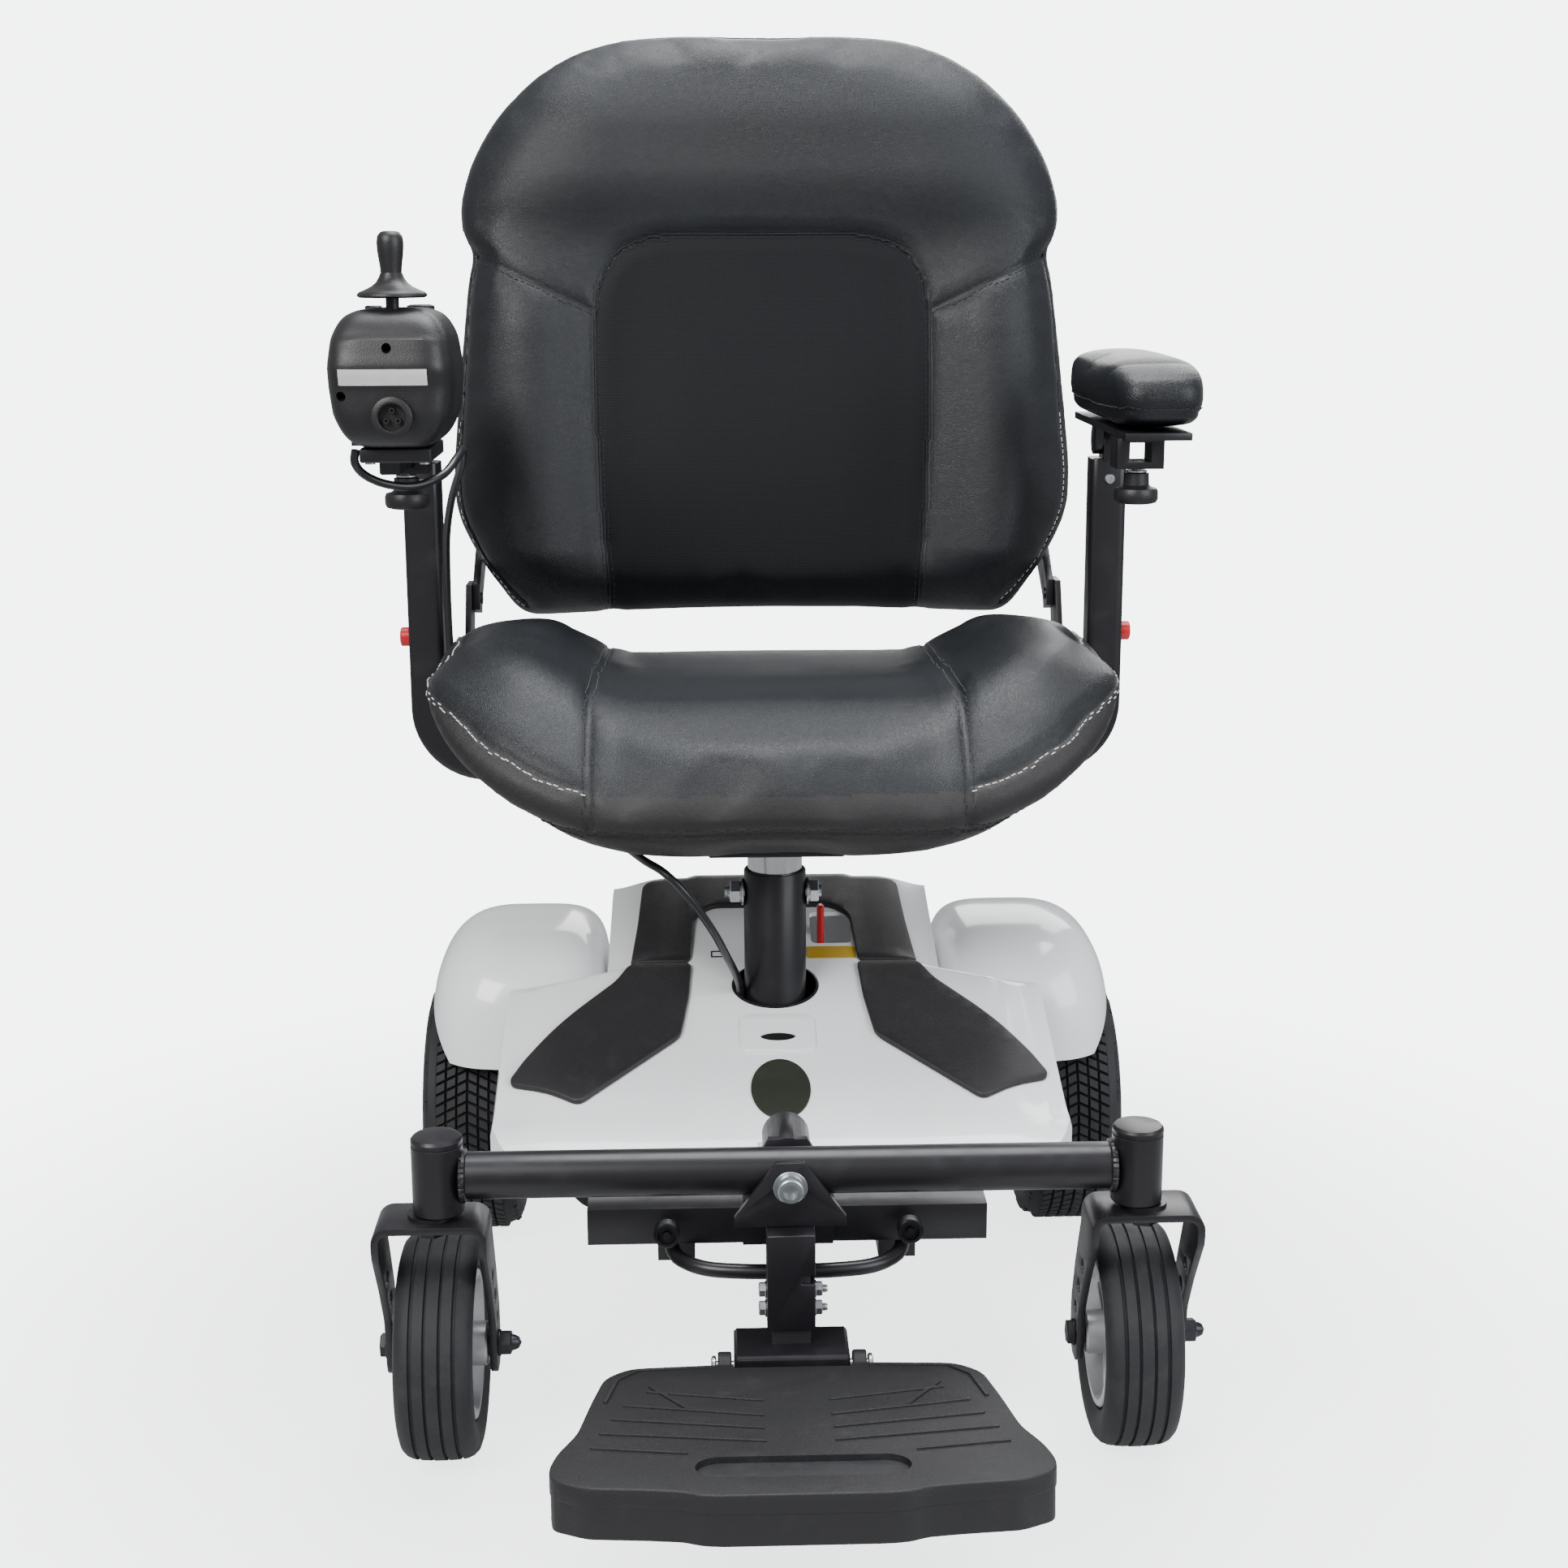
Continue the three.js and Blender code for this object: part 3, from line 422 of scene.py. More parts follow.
def even_route(points, spacing):
    """A smooth curve through the points, as evenly spaced points."""
    points = [Vector(p) for p in points]
    padded = [2 * points[0] - points[1], *points, 2 * points[-1] - points[-2]]
    fine = []
    for a, b, c, d in zip(padded, padded[1:], padded[2:], padded[3:]):
        for k in range(12):
            t = k / 12
            fine.append(0.5 * (2 * b + (c - a) * t + (2 * a - 5 * b + 4 * c - d) * t ** 2
                               + (3 * b - a - 3 * c + d) * t ** 3))
    fine.append(points[-1])
    gone = np.concatenate([[0], np.cumsum([(q - p).length for p, q in zip(fine, fine[1:])])])
    count = max(2, round(gone[-1] / spacing) + 1)
    flat = np.array(fine)
    wanted = np.linspace(0, gone[-1], count)
    return [Vector(np.interp(w, gone, flat[:, k]) for k in range(3)) for w in wanted]


def sweep(bm, route, section):
    """Carries a flat section of (across, up) pairs, in metres, along a route without twisting it."""
    tangents = [(b - a).normalized() for a, b in zip([route[0], *route[:-1]], [*route[1:], route[-1]])]
    tangents[0] = (route[1] - route[0]).normalized()
    across = tangents[0].cross(Vector((0.03, 1.0, 0.02))).normalized()
    rings = []
    for point, tangent in zip(route, tangents):
        across = (across - tangent * across.dot(tangent)).normalized()
        up = tangent.cross(across)
        rings.append([point + across * u + up * v for u, v in section])
    loft(bm, rings)


def circle(radius, sides=14):
    return [(radius * math.cos(math.tau * k / sides), radius * math.sin(math.tau * k / sides))
            for k in range(sides)]


def rounded(points, radius, steps=5):
    """A polygon with its corners rounded off."""
    done = []
    for before, corner, after in zip([points[-1], *points[:-1]], points, [*points[1:], points[0]]):
        p, q, r = Vector(before), Vector(corner), Vector(after)
        start = q + (p - q).normalized() * min(radius, (p - q).length * 0.45)
        end = q + (r - q).normalized() * min(radius, (r - q).length * 0.45)
        for k in range(steps + 1):
            t = k / steps
            done.append(tuple((1 - t) ** 2 * start + 2 * t * (1 - t) * q + t ** 2 * end))
    return done


def mirrored(points):
    """A half outline, drawn on the +x side from end to end, and its mirror image."""
    return [*points, *[(-x, y) for x, y in reversed(points)]]


def worked(bm, *changes):
    """Runs modifiers on a bmesh: each change is a type and its settings."""
    obj = bpy.data.objects.new("work", bpy.data.meshes.new("work"))
    bm.to_mesh(obj.data)
    bpy.context.scene.collection.objects.link(obj)
    for kind, settings in changes:
        modifier = obj.modifiers.new(kind, kind)
        for key, value in settings.items():
            setattr(modifier, key, value)
    bpy.context.view_layer.update()
    result = bpy.data.meshes.new_from_object(obj.evaluated_get(bpy.context.evaluated_depsgraph_get()))
    bm.clear()
    bm.from_mesh(result)
    bpy.data.objects.remove(obj)


def carve(bm, tool, operation="DIFFERENCE"):
    """Cuts the tool's shape out of bm, or joins it on."""
    bmesh.ops.recalc_face_normals(tool, faces=tool.faces)
    bmesh.ops.recalc_face_normals(bm, faces=bm.faces)
    knife = bpy.data.objects.new("tool", bpy.data.meshes.new("tool"))
    tool.to_mesh(knife.data)
    tool.free()
    bpy.context.scene.collection.objects.link(knife)
    worked(bm, ("BOOLEAN", {"object": knife, "operation": operation, "solver": "EXACT"}))
    bpy.data.objects.remove(knife)


def made(name, bm, body, slot, finishes, stands_for=(), smooth=38):
    """Turns a bmesh into a finished piece that rides on a body."""
    bmesh.ops.recalc_face_normals(bm, faces=bm.faces)
    mesh = bpy.data.meshes.new(name)
    bm.to_mesh(mesh)
    bm.free()
    obj = bpy.data.objects.new(name, mesh)
    bpy.context.scene.collection.objects.link(obj)
    for each in ([finishes] if isinstance(finishes, str) else finishes):
        mesh.materials.append(finish(each))
    mesh.shade_smooth()
    mesh.set_sharp_from_angle(angle=math.radians(smooth))
    if body:
        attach(obj, body)
    if stands_for:
        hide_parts(*stands_for)
    return obj


def refined(node, finish_name, width=0.8, name=None):
    """A frame node with its facets merged and its edges rounded."""
    record = frame["record"]
    slot = next(p["material_slot"] for p in record["subparts"] if p["node"] == node)
    body = next(b for b, nodes in record["behaviour"]["bodies"].items() if node in nodes)
    bm = bmesh.new()
    bm.from_mesh(frame["nodes"][node].data)
    bmesh.ops.remove_doubles(bm, verts=bm.verts, dist=2e-5)
    bmesh.ops.dissolve_limit(bm, angle_limit=math.radians(1.0), verts=bm.verts, edges=bm.edges)
    soften(bm, sharp_edges(bm, angle=40), width)
    made(name or f"{node}_formed", bm, body, slot, finish_name, [node], 30)


# ---- upholstery ------------------------------------------------------------------------------------
def coordinates(mesh):
    """The places of a mesh's vertices."""
    flat = np.empty(len(mesh.vertices) * 3)
    mesh.vertices.foreach_get("co", flat)
    return flat.reshape(-1, 3)


def puffed(bm, voxel, rise, pressure=4.0, frames=20):
    """Evens a stuffed shape's mesh, swells it as cloth by no more than rise, and subdivides it once."""
    worked(bm, ("REMESH", {"mode": "VOXEL", "voxel_size": voxel}))
    bmesh.ops.smooth_vert(bm, verts=bm.verts, factor=0.5, use_axis_x=True, use_axis_y=True, use_axis_z=True)
    obj = bpy.data.objects.new("stuffing", bpy.data.meshes.new("stuffing"))
    bm.to_mesh(obj.data)
    bpy.context.scene.collection.objects.link(obj)
    settings = obj.modifiers.new("cloth", "CLOTH").settings
    settings.use_pressure = True
    settings.uniform_pressure_force = pressure
    settings.effector_weights.gravity = 0.0
    settings.quality = 4
    settings.tension_stiffness = settings.compression_stiffness = 22.0
    scene = bpy.context.scene
    for step in range(1, frames + 1):
        scene.frame_set(step)
    swollen = coordinates(obj.evaluated_get(bpy.context.evaluated_depsgraph_get()).data)
    moved = swollen - coordinates(obj.data)
    far = np.linalg.norm(moved, axis=1)
    moved *= (rise * np.tanh(far / rise) / np.maximum(far, 1e-9))[:, None]
    for vert, shift in zip(bm.verts, moved):
        vert.co += Vector(shift)
    bpy.data.objects.remove(obj)
    scene.frame_set(1)
    worked(bm, ("SUBSURF", {"levels": 1, "render_levels": 1}))


def fitted(bm, low, high, axes=(0, 1, 2)):
    """Scales a shape along the given axes until it reaches from low to high."""
    spots = np.array([v.co for v in bm.verts])
    near, far = spots.min(0), spots.max(0)
    for vert in bm.verts:
        for k in axes:
            vert.co[k] = low[k] + (vert.co[k] - near[k]) / (far[k] - near[k]) * (high[k] - low[k])


def evened(bm, rounds):
    """Smooths away small dents."""
    for _ in range(rounds):
        bmesh.ops.smooth_vert(bm, verts=bm.verts, factor=0.5, use_axis_x=True, use_axis_y=True,
                              use_axis_z=True)


def box_grid(cuts):
    """A cube from -1 to 1 with even cuts."""
    bm = bmesh.new()
    bmesh.ops.create_cube(bm, size=2.0)
    bmesh.ops.subdivide_edges(bm, edges=bm.edges, cuts=cuts, use_grid_fill=True)
    return bm


def reshape(bm, change):
    """Moves every vertex: change takes and gives an array of places."""
    old = np.array([v.co for v in bm.verts])
    for vert, new in zip(bm.verts, change(old)):
        vert.co = new


def smooth_step(value, low, high):
    """0 below low and 1 above high, with an eased rise between them."""
    t = np.clip((value - low) / (high - low), 0, 1)
    return t * t * (3 - 2 * t)


def sewn(bm, routes, depth, width):
    """Pulls the cover in along sewn seams."""
    bm.normal_update()
    points = [p for route in routes for p in route]
    tree = KDTree(len(points))
    for index, point in enumerate(points):
        tree.insert(point, index)
    tree.balance()
    reach = 3.2 * width
    for vert in bm.verts:
        gap = tree.find(vert.co)[2]
        if gap < reach:
            soft = math.exp(-(gap / (2.1 * width)) ** 2)
            tight = math.exp(-(gap / (0.7 * width)) ** 2)
            vert.co -= vert.normal * depth * (0.55 * soft + 0.45 * tight)


def laid_on(tree, points, spacing=0.0025):
    """A route laid onto a surface: (place, outward direction) for each of its points."""
    placed = []
    for point in even_route(points, spacing):
        place, normal, _, _ = tree.find_nearest(point)
        placed.append((place, normal))
    return placed


def stitched(bm, tree, points, size, gap, across=0.0, thick=0.00045, lift=0.0002):
    """A row of stitches along a route, moved across it and standing a little proud."""
    route = even_route(points, size + gap)
    for a, b in zip(route, route[1:]):
        centre, normal, _, _ = tree.find_nearest((a + b) / 2)
        run = b - a
        run = (run - normal * run.dot(normal)).normalized()
        aside = normal.cross(run)
        centre, normal, _, _ = tree.find_nearest(centre + aside * across)
        turn = Matrix((aside, run.cross(aside), run)).transposed().to_4x4()
        bmesh.ops.create_cone(bm, cap_ends=True, segments=6, radius1=thick, radius2=thick, depth=size,
                              matrix=Matrix.Translation(centre + normal * lift) @ turn)


def welt(bm, tree, points, radius, sink=0.3):
    """A bead of cover material along a seam."""
    route = [p + n * radius * (1 - 2 * sink) for p, n in laid_on(tree, points, 0.004)]
    sweep(bm, route, circle(radius, 8))


def seat_form(places):
    """The seat's places for a cube's: a rounded plan, bellied sides and a dished top."""
    a, b, c = places.T
    most = np.maximum(abs(a), abs(b))
    norm = (abs(a) ** 5.4 + abs(b) ** 5.4) ** (1 / 5.4)
    keep = np.where(norm > 0, most / np.maximum(norm, 1e-9), 0)
    u, v, t = a * keep, b * keep, (c + 1) / 2
    levels = [0, 0.08, 0.20, 0.38, 0.62, 0.86, 0.95, 1.0]
    half = np.interp(t, levels, [152, 175, 199, 222, 240, 251, 250, 241])
    front = np.interp(t, levels, [146, 133, 128, 124, 127, 138, 148, 160])
    back = np.interp(t, levels, [464, 472, 477, 480, 481, 480, 477, 472])
    x = u * half
    y = front + (back - front) * (v + 1) / 2
    y += 32 * (abs(x) / 240) ** 2.6 * (1 - v) / 2
    side = smooth_step(abs(x), 100, 190)
    top = 462 + 32 * side * smooth_step(y, 140, 250) - 8 * np.exp(-((y - 360) / 90) ** 2) * (1 - side)
    top -= 26 * (1 - smooth_step(y, 132, 235)) * (1 - 0.6 * side)
    base = 383 + 12 * (abs(x) / 166) ** 3 - 7 * (1 - smooth_step(y, 150, 186))
    z = base + t * (top - base)
    return np.stack([x * MM, AXLE_Y + y * MM, z * MM], 1)


# The edge seam's heights: by angle in degrees about the hub up to its side, then by y back to its end.
SEAM_X = 134
SEAT_HUB_Y = 300
SEAT_EDGE_TURN = [(0, 429), (7, 433), (14, 440), (21, 449), (28, 459), (36, 469), (45, 477), (57, 485),
                  (72, 490), (90, 493)]
SEAT_EDGE_SIDE = [(330, 495), (365, 495), (400, 494), (430, 492), (452, 489)]


def facing_ray(tree, x, z, start_y=0):
    """Where a line along +Y at (x, z) first meets the surface."""
    return tree.ray_cast(at(x, start_y, z), Vector((0, 1, 0)))[0]


def edge_point(tree, sign, hub_y, turn, z):
    """A point of the upper edge seen from a hub at an angle from straight ahead: at z or under the top."""
    ray = Vector((sign * math.sin(turn), -math.cos(turn), 0))
    start = at(sign * SEAM_X, hub_y, 0) + ray * 0.4

    def outer(height):
        return tree.ray_cast(start + Vector((0, 0, height)), -ray)[0]

    inside = outer(0.440) - ray * 0.014
    crest = tree.ray_cast(Vector((*inside.xy, 0.9)), Vector((0, 0, -1)))[0].z
    return outer(min(z * MM, crest - 0.007))


def above(tree, x, y):
    """Where a line straight down at (x, y) first meets the surface."""
    return tree.ray_cast(at(x, y, 900), Vector((0, 0, -1)))[0]


def seat_cushion(sizes):
    """The seat: bolstered sides, sewn channels over the front and contrast stitching."""
    bm = box_grid(21)
    reshape(bm, seat_form)
    puffed(bm, sizes.cushion_voxel, sizes.cushion_rise)
    evened(bm, 12)
    fitted(bm, at(-258, 117, 374), at(258, 485, 509))
    pan_front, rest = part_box("seat_pan")[0].y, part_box("seat_cushion")[0].z + 0.0003
    for vert in bm.verts:
        if vert.co.y > pan_front:
            vert.co.z = max(vert.co.z, rest)
    tree = BVHTree.FromBMesh(bm)
    seams, edges = [], []
    for _, sign in SIDES:
        x = sign * SEAM_X
        over = [above(tree, x - sign * 6 * smooth_step(y, 300, 470), y) for y in range(468, 150, -24)]
        down = [facing_ray(tree, x, z) for z in (436, 424, 412, 402, 394)]
        seams.append([p for p in over + down if p])
        edge = [edge_point(tree, sign, SEAT_HUB_Y, math.radians(turn), z) for turn, z in SEAT_EDGE_TURN]
        edge += [edge_point(tree, sign, y, math.pi / 2, z) for y, z in SEAT_EDGE_SIDE]
        edges.append([p for p in edge if p])
    hem = [tree.find_nearest(at(x, y, 391))[0] for x, y in mirrored([
        (0.1, 110), (60, 112), (120, 120), (165, 136), (192, 165), (198, 220), (198, 300), (196, 400)])]
    hems = [hem[:8], hem[8:]]
    routes = [even_route(r, 0.002) for r in seams + edges + hems]
    sewn(bm, routes, sizes.seam_depth, sizes.seam_width)
    tree = BVHTree.FromBMesh(bm)
    turns, sides_y = [t for t, _ in SEAT_EDGE_TURN], [y for y, _ in SEAT_EDGE_SIDE]
    heights = [p.z / MM for p in edges[-1]]
    for face in bm.faces:
        spot = face.calc_center_median()
        x, y, z = abs(spot.x) / MM, (spot.y - AXLE_Y) / MM, spot.z / MM
        turn = math.degrees(math.atan2(x - SEAM_X, SEAT_HUB_Y - y))
        level = np.interp(turn, turns, heights[:len(turns)]) if y < SEAT_HUB_Y else np.interp(
            y, sides_y, heights[len(turns):])
        # Side and front panel faces that face sideways take the border vinyl and its painted warm reflection.
        border = z < level if x > SEAM_X else y < 190 and z < 424
        face.material_index = int(border and face.normal.z < 0.6)
    obj = made("seat_cushion_cover", bm, "seat", "black_vinyl", ["seat vinyl", "border vinyl"],
               ["seat_cushion"], 180)
    thread, dark = bmesh.new(), bmesh.new()
    for edge, (_, sign) in zip(edges, SIDES):
        stitched(thread, tree, edge, sizes.stitch, 0.0016, -sign * 0.0036)
    for seam in seams + hems:
        for shift in (0.0034, -0.0034):
            stitched(dark, tree, seam, sizes.stitch, 0.0014, shift, 0.0004)
    made("seat_contrast_stitches", thread, "seat", "black_vinyl", "contrast thread")
    made("seat_dark_stitches", dark, "seat", "black_vinyl", "black thread")


BACK_FOOT, BACK_TALL, BACK_LEAN, BACK_MID = 493, 482, 0.18, 509
BACK_HALF = [(201, 1), (216, 21), (236, 49), (254, 84), (257, 120), (252, 207), (246, 278), (240, 300),
             (250, 315), (250, 345), (238, 380), (216, 415), (184, 446), (150, 466), (110, 477), (60, 481)]


def on_back(x, s, off=0.0):
    """A place on the back: x across, s up from its lower edge and off behind its middle."""
    return at(x, BACK_MID + BACK_LEAN * s + off, BACK_FOOT + s)


def back_ring(off, inset):
    outline = rounded(mirrored(BACK_HALF), 14, 3)
    centre = BACK_TALL / 2
    return [on_back(x * (1 - inset / 257), s + (centre - s) * inset / centre, off) for x, s in outline]


def back_swell(x, s, front):
    """How far the front of the back stands proud of its flat form, in millimetres."""
    x = abs(x)
    bolster = 19 * np.exp(-((x - 196) / 44) ** 2) * smooth_step(s, 6, 60) * (1 - smooth_step(s, 235, 330))
    head = 13 * smooth_step(s, 300, 370) * (1 - smooth_step(s, 400, 470)) * (1 - smooth_step(x, 130, 240))
    shoulder = 8 * np.exp(-((x - 190) / 60) ** 2) * np.exp(-((s - 350) / 60) ** 2)
    panel = 5 * (1 - smooth_step(x, 60, 140)) * np.exp(-((s - 120) / 110) ** 2)
    return front * (bolster + head + shoulder + panel)


PANEL_HALF = [(130, 3), (133, 66), (137, 136), (139, 206), (138, 254), (133, 280), (120, 300), (99, 310),
              (70, 314), (0.1, 315)]


def back_cushion(sizes):
    """The back: bolsters, a head section, a sewn centre panel and stitched wings."""
    bm = bmesh.new()
    loft(bm, [back_ring(off, inset) for off, inset in (
        (-24, 34), (-22, 18), (-14, 8), (-2, 4), (14, 4), (22, 10), (26, 20))])
    puffed(bm, sizes.cushion_voxel, sizes.cushion_rise)
    evened(bm, 5)
    fitted(bm, at(-261, 0, BACK_FOOT), at(261, 0, BACK_FOOT + BACK_TALL - 5), (0, 2))

    def swell(places):
        x, y, z = places[:, 0] / MM, (places[:, 1] - AXLE_Y) / MM, places[:, 2] / MM
        s = z - BACK_FOOT
        off = y - BACK_MID - BACK_LEAN * s
        front = smooth_step(-off, -4, 22)
        places[:, 1] -= back_swell(x, s, front) * MM
        return places

    reshape(bm, swell)
    tree = BVHTree.FromBMesh(bm)
    on_front = [facing_ray(tree, x, BACK_FOOT + s, 300) for x, s in mirrored(PANEL_HALF)]
    panel = [p for p in on_front if p]
    wings = [[facing_ray(tree, sign * x, BACK_FOOT + s, 300) for x, s in (
        (138, 252), (165, 265), (190, 277), (215, 288), (240, 298))] for _, sign in SIDES]
    wings = [[p for p in wing if p] for wing in wings]
    rims = [[tree.find_nearest(on_back(sign * x, s, -14))[0] for x, s in (
        (204, 6), (218, 24), (238, 52), (256, 86), (259, 120), (256, 168), (253, 213), (248, 276),
        (242, 297))] for _, sign in SIDES]
    crowns = [[tree.find_nearest(on_back(x, s, -2))[0] for x, s in mirrored(
        [(251, 318), (250, 346), (239, 381), (217, 416), (185, 447), (150, 467), (110, 478), (60, 482)])]]
    routes = [even_route(r, 0.002) for r in [panel, *wings, *rims, *crowns]]
    sewn(bm, routes, sizes.seam_depth, sizes.seam_width)
    tree = BVHTree.FromBMesh(bm)
    panel_x, panel_s = np.array(PANEL_HALF).T
    for face in bm.faces:
        spot = face.calc_center_median()
        x, z = abs(spot.x) / MM, spot.z / MM - BACK_FOOT
        off = (spot.y - AXLE_Y) / MM - BACK_MID - BACK_LEAN * z
        inside = z < panel_s[-1] and x < np.interp(z, panel_s, panel_x)
        face.material_index = int(inside and off < 0 and face.normal.y < -0.2)
    obj = made("back_cushion_cover", bm, "back", "black_vinyl", ["seat vinyl", "centre panel"],
               ["backrest"], 180)
    thread, dark, bead = bmesh.new(), bmesh.new(), bmesh.new()
    for rim in rims:
        stitched(thread, tree, rim[:6], sizes.stitch, 0.0018, 0.004)
        stitched(dark, tree, rim[5:], sizes.stitch, 0.0016, 0.004, 0.0004)
    for seam in [panel, *wings]:
        for shift in (0.0036, -0.0036):
            stitched(dark, tree, seam, sizes.stitch, 0.0014, shift, 0.0004)
    welt(bead, tree, panel, 0.0008)
    for line in [*rims, *crowns]:
        welt(bead, tree, line, 0.0016)
    made("back_contrast_stitches", thread, "back", "black_vinyl", "contrast thread")
    made("back_dark_stitches", dark, "back", "black_vinyl", "black thread")
    made("back_welts", bead, "back", "black_vinyl", "seat vinyl")


def arm_pads(sizes):
    """The arm pads: padded tops wrapped in vinyl, with a crease near the front."""
    for name, sign in SIDES:
        low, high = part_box(f"arm_pad_{name}")
        mid, half = (low + high) / 2, (high - low) / 2

        def form(places, mid=mid, half=half):
            norm = (abs(places) ** 5.0).sum(1) ** (1 / 5.0)
            out = places / np.maximum(norm, 1e-9)[:, None] * (np.array(half) - 0.0022)
            up = out[:, 2] > 0
            out[:, 2] += np.where(up, 0.0035 * np.cos(out[:, 0] / half.x * 1.5) - 0.0035, 0)
            out[:, 2] -= 0.007 * smooth_step(-out[:, 1] / half.y, 0.55, 1.0) * up
            return out + np.array(mid)

        bm = box_grid(15)
        reshape(bm, form)
        puffed(bm, 0.004, 0.0022, 3.0)
        out = Vector((0.007, 0, 0))
        fitted(bm, low - out * (sign < 0), high + out * (sign > 0))
        tree = BVHTree.FromBMesh(bm)
        skirt = [tree.find_nearest(Vector((mid.x + u * half.x, mid.y + v * half.y, low.z + 0.013)))[0]
                 for u, v in rounded([(-1, -1), (1, -1), (1, 1), (-1, 1)], 0.3, 4)]
        skirt.append(skirt[0])
        fold = [tree.ray_cast(Vector((mid.x + u * half.x, low.y + 0.034 + 0.012 * u * u, high.z + 0.1)),
                              Vector((0, 0, -1)))[0] for u in (-0.8, -0.5, -0.2, 0.1, 0.4, 0.7)]
        sewn(bm, [even_route(skirt, 0.002)], 0.0022, 0.0028)
        sewn(bm, [even_route([p for p in fold if p], 0.002)], 0.0011, 0.004)
        tree = BVHTree.FromBMesh(bm)
        obj = made(f"arm_pad_cover_{name}", bm, f"arm_rest_{name}", "black_vinyl", "arm vinyl",
                   [f"arm_pad_{name}"], 180)
        dark = bmesh.new()
        stitched(dark, tree, skirt, sizes.stitch, 0.0016, 0.003, 0.0004)
        made(f"arm_pad_stitches_{name}", dark, f"arm_rest_{name}", "black_vinyl", "black thread")


# ---- covers ----------------------------------------------------------------------------------------
RAMP_FOOT, RAMP_RISE = 171, 0.31


def cover_height(x, y):
    """Height of the centre cover's top: a ramp with a raised spine and a rounded nose."""
    x = abs(x)
    plain = RAMP_FOOT + RAMP_RISE * y
    edge = np.interp(y, [30, 58, 88, 256, 280, 400], [150, 190, 204, 204, 130, 130])
    fall = 16 * smooth_step(x, edge - 52, edge) ** 1.5 * smooth_step(y, 60, 120)
    nose = 17 * (1 - smooth_step(y, 34, 96)) ** 2
    hollow = 2.2 * smooth_step(x, 60, 70) * (1 - smooth_step(x, 190, 202)) * smooth_step(y, 70, 110)
    return plain - fall * 0.55 - nose * 0.7 - hollow


def draped(bm):
    """Lays flat work, drawn at z = 0, on the centre cover's top."""
    for vert in bm.verts:
        x, y = vert.co.x / MM, (vert.co.y - AXLE_Y) / MM
        vert.co.z += cover_height(x, y) * MM


def cut_grid(bm, step):
    """Cuts flat work on a grid, a little off the whole millimetres, so that it can bend."""
    across = [(at(x + 0.37, 0, 0), (1, 0, 0)) for x in range(-230, 231, step)]
    along = [(at(0, y + 0.41, 0), (0, 1, 0)) for y in range(30, 401, step)]
    for place, normal in across + along:
        bmesh.ops.bisect_plane(bm, geom=[*bm.verts, *bm.edges, *bm.faces], plane_co=place,
                               plane_no=normal, dist=1e-5)


def ellipse(x, y, rx, ry, count=48):
    return [(x + rx * math.cos(math.tau * k / count), y + ry * math.sin(math.tau * k / count))
            for k in range(count)]


